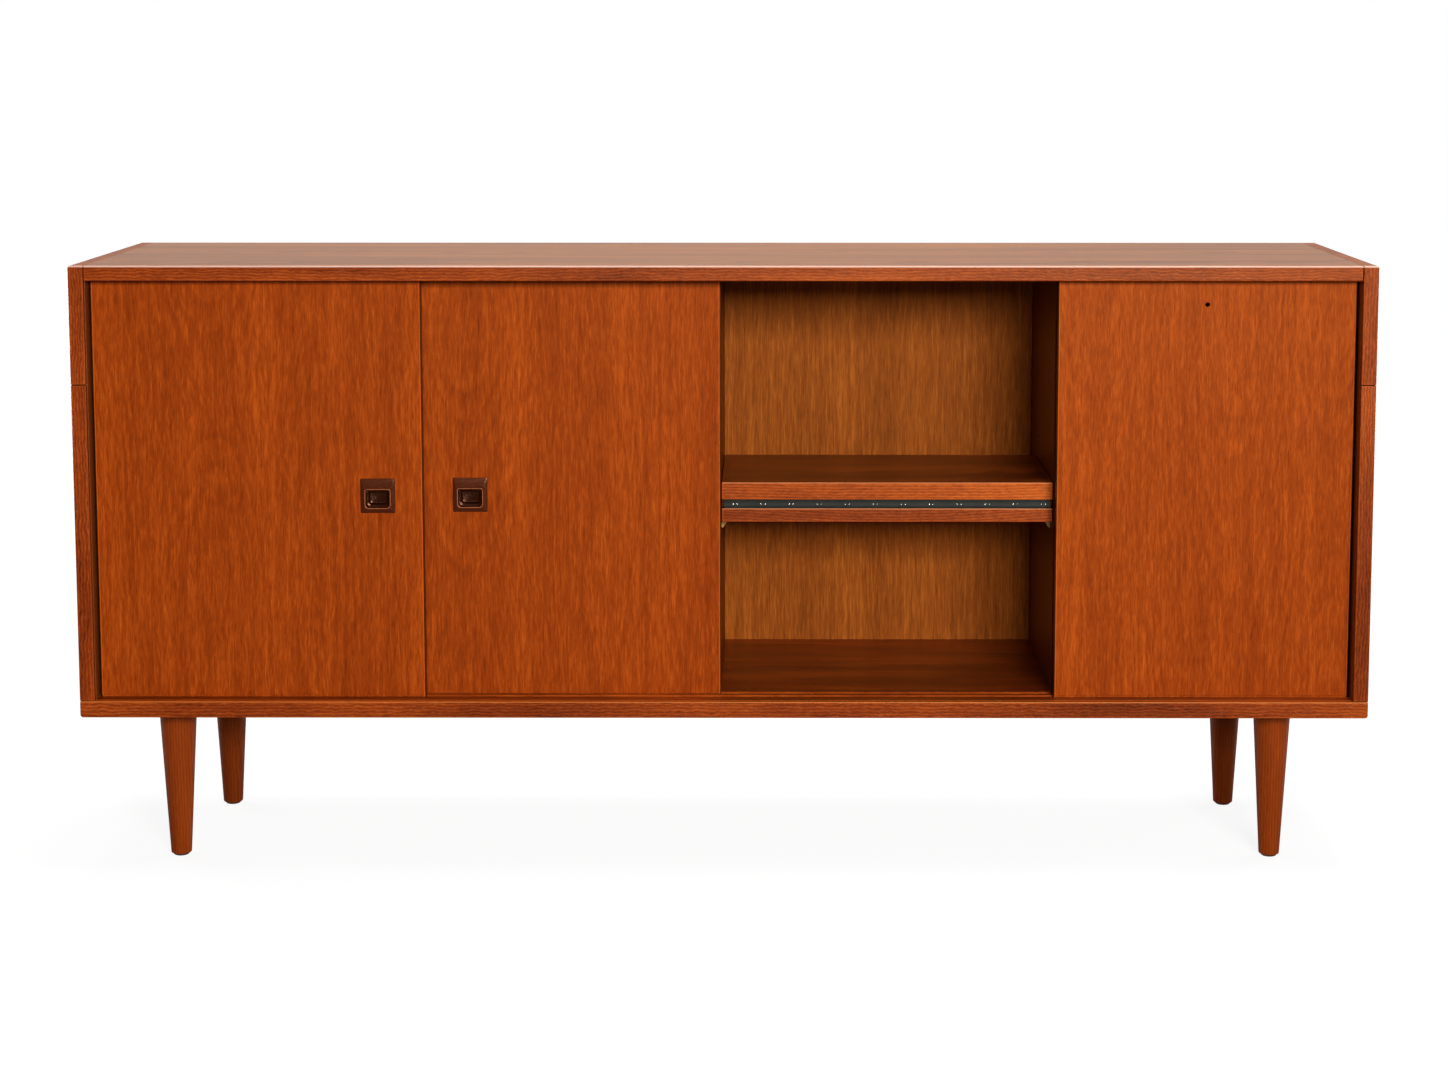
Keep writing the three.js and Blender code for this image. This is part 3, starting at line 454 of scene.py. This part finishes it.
def plastic(name, colour, roughness):
    """Moulded nylon with a faint orange-peel skin and scuffs."""
    graph = Graph(name)
    place = graph.position()
    skin = graph.noise(graph.scaled(place, NYLON_SKIN_SCALE, NYLON_SKIN_SCALE, NYLON_SKIN_SCALE))
    scuff = graph.noise(graph.scaled(place, *NYLON_SCUFF_SCALE), 3.0)
    dark = tuple(0.80 * c for c in colour)
    tint = graph.ramp(scuff, ((0.35, dark), (0.65, colour)))
    graph.bump(skin, NYLON_SKIN_DEPTH)
    rough = graph.span(scuff, 0.3, 0.7, roughness + 0.1, roughness)
    return graph.surface(tint, rough, Specular_IOR_Level=0.4)


# ---------------------------------------------------------------- dressing the CAD nodes


WELD_REACH = 0.01 * MM
FLAT_ANGLE = 0.5  # degrees: faces that differ by less become one
ARRIS_ANGLE = 30  # degrees: edges sharper than this are rounded


def soften(name, width, segments=3):
    """Rounds a CAD node's arrises with modifiers, which leave its own mesh as it is."""
    node = nodes[name]
    weld = node.modifiers.new("join", "WELD")
    weld.merge_threshold = WELD_REACH
    flat = node.modifiers.new("flat", "DECIMATE")
    flat.decimate_type = "DISSOLVE"
    flat.angle_limit = math.radians(FLAT_ANGLE)
    arris = node.modifiers.new("arris", "BEVEL")
    arris.width = width
    arris.segments = segments
    arris.limit_method = "ANGLE"
    arris.angle_limit = math.radians(ARRIS_ANGLE)
    arris.harden_normals = True


def paint(name, material):
    """Gives a CAD node one material."""
    node = nodes[name]
    node.data.materials.clear()
    node.data.materials.append(material)


seeds = itertools.count(1.0)


def dress(name, look, grain, width, wear=1.0, **details):
    """Wood and rounded arrises for one CAD node."""
    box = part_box(name)
    paint(name, wood(f"{name}_wood", look, grain, next(seeds), box, wear, **details))
    soften(name, width)


# An axis and a reach, or a colour and a width.
END_SEAM = (0, SEAM_WIDTH)
LEVEL_SEAM = (2, 0.7 * MM)
# Painted shade at both ends of a door, in the gaps beside it.
DOOR_GAP_SHADE = (0, 1.4 * MM)
# Painted highlights along upper front arrises: their colour and width.
TOP_ARRIS_HIGHLIGHT = ((0.84, 0.54, 0.42), 2.6 * MM)
SILL_ARRIS_HIGHLIGHT = ((0.64, 0.175, 0.030), 1.5 * MM)
SHELF_ARRIS_HIGHLIGHT = ((0.70, 0.250, 0.100), 1.3 * MM)
SHADE_EDGE = 0.4 * MM
# The door's edge strip: a solid lipping, lightened as a painted highlight on its arris.
DOOR_LIPPING_AND_HIGHLIGHT = 2.4 * MM

# How dark the painted shade on a face is, as a share of the look's own colour.
FLOOR_SHARE = 0.62
INNER_SIDE_SHARE = 0.35
SHELF_SHARE = 0.42
FLOOR_CLOUDS = 0.34
SHELF_CLOUDS = 0.30


def inner_face_shade(name, share):
    """Painted shade on a side board's face inside the carcass."""
    low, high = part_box(name)
    if low.x < 0:
        return 0, high.x - 2 * SHADE_EDGE, high.x - SHADE_EDGE, share
    return 0, low.x + 2 * SHADE_EDGE, low.x + SHADE_EDGE, share


def upper_face_shade(name, share):
    """Painted shade on a board's face that looks up."""
    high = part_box(name)[1]
    return 2, high.z - 2 * SHADE_EDGE, high.z - SHADE_EDGE, share


def behind_front_shade(name, share):
    """Painted shade on all of a shelf behind its front edge."""
    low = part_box(name)[0]
    return 1, low.y + 2 * SHADE_EDGE, low.y + 3 * SHADE_EDGE, share


floor_shade = upper_face_shade("bottom_board", FLOOR_SHARE)
dress("top_board", "top", GRAIN_LEVEL_TOP, 0.6 * MM, 0.3, seam=END_SEAM)
dress("bottom_board", "veneer", GRAIN_LEVEL_TOP, 0.6 * MM, shades=[floor_shade], clouds=FLOOR_CLOUDS)
for side in ("left", "right"):
    inside = inner_face_shade(f"{side}_side_board", INNER_SIDE_SHARE)
    dress(f"{side}_side_board", "side", GRAIN_UPRIGHT_SIDE, 0.6 * MM, 0.5, shades=[inside])
    for half, seam, pale in (("upper", None, TOP_ARRIS_HIGHLIGHT), ("lower", LEVEL_SEAM, None)):
        dress(
            f"{side}_side_{half}_lipping", "lipping", GRAIN_UPRIGHT_FRONT, 1.4 * MM, 0.4,
            seam=seam, shades=[inside], pale_arris=pale,
        )
dress("top_lipping", "lipping", GRAIN_LEVEL_FRONT, 1.6 * MM, 0.2, seam=END_SEAM, pale_arris=TOP_ARRIS_HIGHLIGHT)
dress("bottom_lipping", "lipping", GRAIN_LEVEL_FRONT, 1.4 * MM, 0.4, pale_arris=SILL_ARRIS_HIGHLIGHT)
dress("back_panel", "back", GRAIN_UPRIGHT_FRONT, 0.4 * MM)
for name in ("centre_partition", "right_partition"):
    dress(name, "shaded_interior", GRAIN_UPRIGHT_SIDE, 0.6 * MM)
for name in ("left_shelf", "right_shelf"):
    dress(name, "shaded_interior", GRAIN_LEVEL_TOP, 0.8 * MM)
for board, look in (("upper", "shelf_front"), ("lower", "lipping")):
    name = f"middle_shelf_{board}_board"
    behind = behind_front_shade(name, SHELF_SHARE)
    dress(
        name, look, GRAIN_LEVEL_TOP, 0.9 * MM, 0.5,
        shades=[behind], clouds=SHELF_CLOUDS, pale_arris=SHELF_ARRIS_HIGHLIGHT,
    )
for side in ("left", "right"):
    dress(f"middle_shelf_{side}_spacer", "shaded_interior", GRAIN_FRONT_TO_BACK, 0.8 * MM)
for door in ("left", "centre", "right"):
    dress(
        f"{door}_door_panel", "door", GRAIN_UPRIGHT_FRONT, 0.7 * MM, 0.6,
        edge_band=DOOR_LIPPING_AND_HIGHLIGHT, seam=DOOR_GAP_SHADE,
    )
dress("centre_door_stop", "lipping", GRAIN_LEVEL_FRONT, 0.6 * MM)

nylon = plastic("white_nylon", (0.62, 0.58, 0.50), 0.42)
brown_nylon = plastic("brown_nylon", (0.075, 0.032, 0.016), 0.45)
for door in ("left", "centre", "right"):
    for end in ("left", "right"):
        paint(f"{door}_door_glide_{end}", nylon)
        soften(f"{door}_door_glide_{end}", 0.5 * MM, 2)

brass = metal("aged_brass", (0.42, 0.25, 0.07), 0.40, 900.0)
for bay in ("left", "right", "middle"):
    for depth in ("front", "rear"):
        for end in ("left", "right"):
            paint(f"{bay}_shelf_support_{depth}_{end}", brass)

steel = metal("blackened_steel", (0.027, 0.028, 0.023), 0.46, 1400.0, 0.7)
balls = metal("bright_steel", (0.70, 0.67, 0.62), 0.24, 1400.0)
bolts = metal("zinc_steel", (0.50, 0.50, 0.49), 0.36, 1200.0)
paint("runner_channel", steel)

for depth in ("front", "rear"):
    for side in ("left", "right"):
        paint(f"leg_bolt_{depth}_{side}", bolts)
        paint(f"floor_glide_{depth}_{side}", brown_nylon)
        soften(f"floor_glide_{depth}_{side}", 0.3 * MM, 2)


# ---------------------------------------------------------------- pieces that stand for CAD nodes


SHARP_ANGLE = 32  # degrees: edges sharper than this are drawn sharp


def finish_piece(name, mesh_builder, material, body, replaced):
    """Turns built faces into a smooth-shaded piece that rides on a body and stands for CAD nodes."""
    bmesh.ops.recalc_face_normals(mesh_builder, faces=mesh_builder.faces)
    mesh = bpy.data.meshes.new(name)
    mesh_builder.to_mesh(mesh)
    mesh_builder.free()
    mesh.shade_smooth()
    mesh.set_sharp_from_angle(angle=math.radians(SHARP_ANGLE))
    mesh.materials.append(material)
    piece = bpy.data.objects.new(name, mesh)
    bpy.context.scene.collection.objects.link(piece)
    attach(piece, body)
    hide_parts(*replaced)


def skin_loops(mesh_builder, loops):
    """Joins rings of points, all of one count, into a closed skin with a face over each end ring."""
    rings = [[mesh_builder.verts.new(point) for point in loop] for loop in loops]
    for near, far in zip(rings, rings[1:]):
        for i in range(len(near)):
            j = (i + 1) % len(near)
            mesh_builder.faces.new((near[i], near[j], far[j], far[i]))
    mesh_builder.faces.new(rings[0])
    mesh_builder.faces.new(rings[-1])


CORNER_STEPS = 7


def rounded_rectangle(x_low, x_high, z_low, z_high, y, lower_radius, upper_radius):
    """Points round a rectangle that faces Y, with one radius for its lower corners and one for its upper."""
    corners = (
        (x_high, z_high, -1, -1, upper_radius, 0),
        (x_low, z_high, 1, -1, upper_radius, 90),
        (x_low, z_low, 1, 1, lower_radius, 180),
        (x_high, z_low, -1, 1, lower_radius, 270),
    )
    points = []
    for x, z, inward_x, inward_z, radius, start in corners:
        for step in range(CORNER_STEPS + 1):
            turn = math.radians(start + 90 * step / CORNER_STEPS)
            points.append((
                x + inward_x * radius + radius * math.cos(turn),
                y,
                z + inward_z * radius + radius * math.sin(turn),
            ))
    return points


PULL_LOWER_RIM = 7 * MM
PULL_SIDE_RIM = 7 * MM
PULL_UPPER_RIM = 15 * MM
PULL_BODY_INSET = 3.3 * MM  # the body behind the flange, in from the flange's rim
PULL_BEAD = 0.7 * MM  # radius of the bead round the mouth
PULL_BEAD_STEPS = 6
PULL_MOUTH_LOWER_RADIUS = 5.4 * MM
PULL_MOUTH_UPPER_RADIUS = 2.8 * MM
PULL_BODY_RADIUS = 2.0 * MM
PULL_BEAD_DEPTH = 1.1  # the bead's height, as a share of its radius
PULL_FACET_TOP = 0.50 * MM  # where the facets end, below the crest
PULL_FACET_GAP = 1.9 * MM  # and how far out from the mouth
PULL_FACET_RADII = (1.7 * MM, 1.5 * MM)
PULL_BEAD_HIGHLIGHT_SHARE = (5.4, 9.0, 14.0)  # a painted highlight: how much lighter the bead is than the wood round it
PULL_BEAD_HIGHLIGHT_REACH = (0.50 * MM, 0.28 * MM)  # behind the crest, where the bead's painted highlight starts and is full
# Painted shade inside the cup: how dark, and how far behind the crest it starts and is full.
PULL_CUP_SHARE = 0.30
PULL_CUP_SHADE = (3.2 * MM, 5.0 * MM)

# The flange's edge, in millimetres: inset, distance in front of the door's face, corner radius.
PULL_FLANGE = ((0.0, 0.05, 1.6), (0.0, 0.20, 1.6), (0.12, 0.36, 1.5), (0.4, 0.48, 1.4))

# The cup, in millimetres: how far in from the mouth, how far behind the crest, lower and upper radius.
PULL_CUP = (
    (0.1, 1.6, 5.2, 2.6),
    (0.3, 6.6, 5.0, 2.4),
    (0.8, 7.4, 4.8, 2.2),
    (3.0, 7.9, 4.4, 2.0),
    (3.5, 8.4, 4.2, 1.9),
    (3.9, 11.6, 4.0, 1.8),
    (4.6, 12.9, 3.6, 1.6),
    (6.0, 13.5, 3.0, 1.4),
)


def door_pull(door, seed):
    """A square pull, carved as a pyramid with a tall upper facet, a beaded mouth and a stepped cup."""
    low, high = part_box(f"{door}_door_pull")
    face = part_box(f"{door}_door_panel")[0].y
    crest = low.y

    def frame_loop(inset, y, radius):
        sides = (low.x + inset, high.x - inset, low.z + inset, high.z - inset)
        return rounded_rectangle(*sides, y, radius, radius)

    def mouth_loop(grow, y, lower_radius, upper_radius):
        return rounded_rectangle(
            low.x + PULL_SIDE_RIM - grow, high.x - PULL_SIDE_RIM + grow,
            low.z + PULL_LOWER_RIM - grow, high.z - PULL_UPPER_RIM + grow,
            y, lower_radius, upper_radius,
        )

    loops = [
        frame_loop(PULL_BODY_INSET, high.y, PULL_BODY_RADIUS),
        frame_loop(PULL_BODY_INSET, face - PULL_FLANGE[0][1] * MM, PULL_BODY_RADIUS),
    ]
    for inset, out, radius in PULL_FLANGE:
        loops.append(frame_loop(inset * MM, face - out * MM, radius * MM))
    # the facets fall from the bead to the flange, and the bead is a half round of its own
    loops.append(mouth_loop(PULL_FACET_GAP, crest + PULL_FACET_TOP, *PULL_FACET_RADII))
    for step in range(PULL_BEAD_STEPS + 1):
        turn = math.radians(180 * step / PULL_BEAD_STEPS)
        loops.append(mouth_loop(
            PULL_BEAD * (1 + math.cos(turn)),
            crest + PULL_BEAD * PULL_BEAD_DEPTH * (1 - math.sin(turn)),
            PULL_MOUTH_LOWER_RADIUS + PULL_BEAD * math.cos(turn),
            PULL_MOUTH_UPPER_RADIUS + PULL_BEAD * math.cos(turn),
        ))
    for shrink, depth, lower_radius, upper_radius in PULL_CUP:
        loops.append(mouth_loop(-shrink * MM, crest + depth * MM, lower_radius * MM, upper_radius * MM))
    builder = bmesh.new()
    skin_loops(builder, loops)
    # A painted highlight on the bead, and painted shade deep in the cup.
    shades = [
        (1, crest + PULL_BEAD_HIGHLIGHT_REACH[0], crest + PULL_BEAD_HIGHLIGHT_REACH[1], PULL_BEAD_HIGHLIGHT_SHARE),
        (1, crest + PULL_CUP_SHADE[0], crest + PULL_CUP_SHADE[1], PULL_CUP_SHARE),
    ]
    material = wood(f"{door}_pull_wood", "pull", GRAIN_LEVEL_FRONT, seed, shades=shades)
    finish_piece(f"{door}_pull", builder, material, f"{door}_door", [f"{door}_door_pull"])


door_pull("left", 41.0)
door_pull("centre", 42.0)


def lathe(profile, axis_x, axis_y, sides):
    """A closed skin turned from (radius, height) points that start and end on the axis."""
    builder = bmesh.new()
    rings = []
    for radius, height in profile:
        if radius == 0:
            rings.append([builder.verts.new((axis_x, axis_y, height))])
            continue
        ring = []
        for step in range(sides):
            turn = 2 * math.pi * step / sides
            place = (axis_x + radius * math.cos(turn), axis_y + radius * math.sin(turn), height)
            ring.append(builder.verts.new(place))
        rings.append(ring)
    for near, far in zip(rings, rings[1:]):
        for i in range(sides):
            j = (i + 1) % sides
            corners = [near[i % len(near)], near[j % len(near)], far[j % len(far)], far[i % len(far)]]
            builder.faces.new(list(dict.fromkeys(corners)))
    return builder


def rims(name):
    """A turned CAD node's axis, and the radii of its rims at each height, least first."""
    low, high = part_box(name)
    axis = (low + high) / 2
    found = {}
    for vertex in nodes[name].data.vertices:
        height = round(vertex.co.z, 5)
        radius = math.hypot(vertex.co.x - axis.x, vertex.co.y - axis.y)
        found.setdefault(height, set()).add(round(radius, 5))
    return axis, {height: sorted(found[height]) for height in sorted(found)}


LEG_SIDES = 72
LEG_FOOT_ROUND = 2 * MM
LEG_ROUND_STEPS = 6
LEG_NECK_INSET = 0.4 * MM  # the leg's top, in from the CAD leg's
LEG_NECK = 3.5 * MM
LEG_HOLE_MOST = 5 * MM  # a rim with a smaller radius is a hole's
# Painted shade near the top of a leg, under the bottom board: how far down it reaches, and how dark.
LEG_SHADE = 30 * MM
LEG_TOP_SHARE = 0.72
REAR_LEG_SHADE_SHARE = 0.62  # painted shade: how dark the rear legs are beside the front legs


def leg(depth, side, seed):
    """A smooth tapered leg with a rounded foot, and the holes for its bolt and its glide's nail."""
    name = f"leg_{depth}_{side}"
    axis, heights = rims(name)
    foot, top = min(heights), max(heights)
    nail_radius, bolt_radius, top_radius = heights[foot][0], heights[top][0], heights[top][-1]
    nail_top, bolt_low = (h for h in heights if heights[h][0] < LEG_HOLE_MOST and h not in (foot, top))
    taper_start = max(h for h in heights if h < bolt_low and heights[h][-1] > bolt_radius * 2)
    foot_radius = heights[taper_start][-1]
    profile = [(0, nail_top), (nail_radius, nail_top), (nail_radius, foot)]
    for step in range(LEG_ROUND_STEPS + 1):
        turn = math.radians(90 * step / LEG_ROUND_STEPS)
        profile.append((
            foot_radius - LEG_FOOT_ROUND * (1 - math.sin(turn)),
            foot + LEG_FOOT_ROUND * (1 - math.cos(turn)),
        ))
    neck_radius = top_radius - LEG_NECK_INSET
    profile += [(neck_radius, top - LEG_NECK), (neck_radius, top)]
    profile += [(bolt_radius, top), (bolt_radius, bolt_low), (0, bolt_low)]
    # Painted shade: darker near the top, and on the rear legs all over.
    shades = [(2, top - LEG_SHADE, top, LEG_TOP_SHARE)]
    if depth == "rear":
        shades.append((2, foot - MM, foot, REAR_LEG_SHADE_SHARE))
    material = wood(f"{name}_wood", "leg", GRAIN_UPRIGHT_FRONT, seed, shades=shades)
    builder = lathe(profile, axis.x, axis.y, LEG_SIDES)
    finish_piece(f"turned_{name}", builder, material, "carcass", [name])


leg_places = itertools.product(("front", "rear"), ("left", "right"))
for number, (depth, side) in enumerate(leg_places):
    leg(depth, side, 51.0 + number)


RUNNER_BALLS = 12
RUNNER_BALL_RADIUS = 2.0 * MM
RUNNER_RIVET_RADIUS = 1.5 * MM
RUNNER_PAIR = 5.4 * MM  # ball to the rivet beside it
RUNNER_END = 12 * MM
RUNNER_SETBACK = 1.7 * MM  # the strip's face, behind the CAD cage's front
RUNNER_BALL_OUT = 0.9 * MM  # how far a ball stands out of the strip
RUNNER_RIVET_OUT = 0.4 * MM
RUNNER_BALL_DROP = 0.3 * MM  # the row's height below the strip's middle
RUNNER_CLEAR = 0.2 * MM  # over and under the strip


def runner():
    """The ball runner's cage: a pressed strip with folded lips, and balls that show beside small rivets."""
    low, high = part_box("runner_ball_cage")
    front = low.y + RUNNER_SETBACK
    middle = (low.z + high.z) / 2
    half = (high.z - low.z) / 2 - RUNNER_CLEAR
    outline = (
        (high.y, -half),
        (front, -half),
        (front - 0.5 * MM, -half + 0.5 * MM),
        (front - 0.5 * MM, -half + 1.2 * MM),
        (front, -half + 1.7 * MM),
        (front, half - 2.8 * MM),
        (front - 0.6 * MM, half - 2.2 * MM),
        (front - 0.6 * MM, half - 0.6 * MM),
        (front, half),
        (high.y, half),
    )
    builder = bmesh.new()
    ends = [[builder.verts.new((x, y, middle + z)) for y, z in outline] for x in (low.x, high.x)]
    for i in range(len(outline)):
        j = (i + 1) % len(outline)
        builder.faces.new((ends[0][i], ends[0][j], ends[1][j], ends[1][i]))
    for end in ends:
        builder.faces.new(end)
    finish_piece("runner_cage", builder, steel, "carcass", ["runner_ball_cage"])

    builder = bmesh.new()
    span = high.x - low.x - 2 * RUNNER_END
    ball = (0.0, RUNNER_BALL_RADIUS, RUNNER_BALL_OUT)
    rivet = (RUNNER_PAIR, RUNNER_RIVET_RADIUS, RUNNER_RIVET_OUT)
    for number in range(RUNNER_BALLS):
        x = low.x + RUNNER_END + span * number / (RUNNER_BALLS - 1)
        for offset, radius, out in (ball, rivet):
            made = bmesh.ops.create_uvsphere(builder, u_segments=20, v_segments=12, radius=radius)
            across = min(x + offset, high.x - radius)
            place = Vector((across, front - out + radius, middle - RUNNER_BALL_DROP))
            bmesh.ops.translate(builder, verts=made["verts"], vec=place)
    finish_piece("runner_balls", builder, balls, "carcass", [])


runner()


# ---------------------------------------------------------------- camera, light and floor

CAMERA_PLACE = (0.0619, -3.6105, 1.0950)
CAMERA_DIP = 0.1121  # radians below level
CAMERA_TURN = 0.0033

camera = bpy.data.objects.new("camera", bpy.data.cameras.new("camera"))
bpy.context.scene.collection.objects.link(camera)
bpy.context.scene.camera = camera
camera.location = CAMERA_PLACE
camera.rotation_euler = (math.pi / 2 - CAMERA_DIP, 0.0, CAMERA_TURN)
camera.data.sensor_width = 36.0
camera.data.lens = 65.7
camera.data.shift_x = -0.0262
camera.data.shift_y = -0.14
camera.data.clip_start = 0.05
camera.data.clip_end = 100.0


def softbox(name, place, target, size, power):
    """A rectangular area light that faces a point and that the camera doesn't see."""
    light = bpy.data.lights.new(name, "AREA")
    light.shape = "RECTANGLE"
    light.size, light.size_y = size
    light.energy = power
    lamp = bpy.data.objects.new(name, light)
    lamp.location = place
    lamp.rotation_euler = (Vector(target) - Vector(place)).to_track_quat("-Z", "Y").to_euler()
    lamp.visible_camera = False
    bpy.context.scene.collection.objects.link(lamp)


softbox("key_softbox", (1.40, -6.2, 2.15), (0.0, 0.0, 0.5), (2.2, 1.2), 375.0)
softbox("overhead_softbox", (0.2, 0.35, 3.0), (0.0, 0.0, 0.4), (2.6, 1.6), 70.0)
# These two stay below the top board, so that its surface doesn't mirror them.
for side, sign in (("left", -1), ("right", 1)):
    softbox(f"rear_softbox_{side}", (3.0 * sign, 1.7, 0.40), (0.8 * sign, 0.0, 0.5), (1.8, 0.7), 55.0)

BACKDROP_STRENGTH = 0.84
ROOM_STRENGTH = 0.08
BACKDROP_ROUND = (0.1, 0.7)  # how far toward +Y a direction points where the backdrop fades in
BACKDROP_RISE = (0.12, 0.30)  # how far up it points where the backdrop fades out


def pale_room(behind, elsewhere):
    """A white room for the camera. As light, it is bright low down behind the object and dim elsewhere."""
    world = bpy.data.worlds.new("pale_room")
    bpy.context.scene.world = world
    world.use_nodes = True
    tree = world.node_tree
    direction = tree.nodes.new("ShaderNodeTexCoord")
    split = tree.nodes.new("ShaderNodeSeparateXYZ")
    tree.links.new(direction.outputs["Generated"], split.inputs[0])

    def span(socket, low, high, to_low, to_high):
        """Maps one part of the direction, smoothly, as Graph.span does."""
        node = tree.nodes.new("ShaderNodeMapRange")
        node.interpolation_type = "SMOOTHSTEP"
        tree.links.new(split.outputs[socket], node.inputs["Value"])
        limits = {"From Min": low, "From Max": high, "To Min": to_low, "To Max": to_high}
        for name, limit in limits.items():
            node.inputs[name].default_value = limit
        return node.outputs[0]

    backdrop = tree.nodes.new("ShaderNodeMath")
    backdrop.operation = "MULTIPLY_ADD"
    tree.links.new(span("Y", *BACKDROP_ROUND, 0.0, 1.0), backdrop.inputs[0])
    tree.links.new(span("Z", *BACKDROP_RISE, behind - elsewhere, 0.0), backdrop.inputs[1])
    backdrop.inputs[2].default_value = elsewhere
    seen = tree.nodes.new("ShaderNodeLightPath")
    blend = tree.nodes.new("ShaderNodeMix")
    blend.inputs["B"].default_value = 1.0
    tree.links.new(seen.outputs["Is Camera Ray"], blend.inputs["Factor"])
    tree.links.new(backdrop.outputs[0], blend.inputs["A"])
    tree.links.new(blend.outputs["Result"], tree.nodes["Background"].inputs["Strength"])
    tree.nodes["Background"].inputs["Color"].default_value = (1.0, 1.0, 1.0, 1.0)


pale_room(BACKDROP_STRENGTH, ROOM_STRENGTH)

# The floor is pale, and glows a little for the camera alone, so that it reads as white with faint shadows.
FLOOR_RADIUS = 24.0
FLOOR_GLOW = (0.86, 0.985)  # near the object and far from it
FLOOR_GLOW_REACH = (1.3, 4.0)
FLOOR_LIT = (0.20, 0.20, 0.20)  # what it gives back to the object
FLOOR_SEEN = (0.24, 0.24, 0.24)

floor_mesh = bpy.data.meshes.new("floor")
surface = bmesh.new()
bmesh.ops.create_circle(surface, cap_ends=True, segments=96, radius=FLOOR_RADIUS)
surface.to_mesh(floor_mesh)
surface.free()
floor = bpy.data.objects.new("floor", floor_mesh)
bpy.context.scene.collection.objects.link(floor)
floor_graph = Graph("pale_floor")
floor_x, floor_y, _ = floor_graph.position()
squares = floor_graph.add(floor_graph.mul(floor_x, floor_x), floor_graph.mul(floor_y, floor_y))
distance = floor_graph.math("SQRT", squares)
seen = floor_graph.tree.nodes.new("ShaderNodeLightPath").outputs["Is Camera Ray"]
glow = floor_graph.mul(floor_graph.span(distance, *FLOOR_GLOW_REACH, *FLOOR_GLOW, smooth=True), seen)
tint = floor_graph.mix(seen, FLOOR_LIT, FLOOR_SEEN)
floor_mesh.materials.append(floor_graph.surface(
    tint, 0.9, Specular_IOR_Level=0.0, Emission_Color=(1.0, 1.0, 1.0, 1.0),
))
floor_graph.plug(floor_graph.shader.inputs["Emission Strength"], glow)

bpy.context.scene.view_settings.view_transform = "Standard"
bpy.context.scene.view_settings.look = "None"
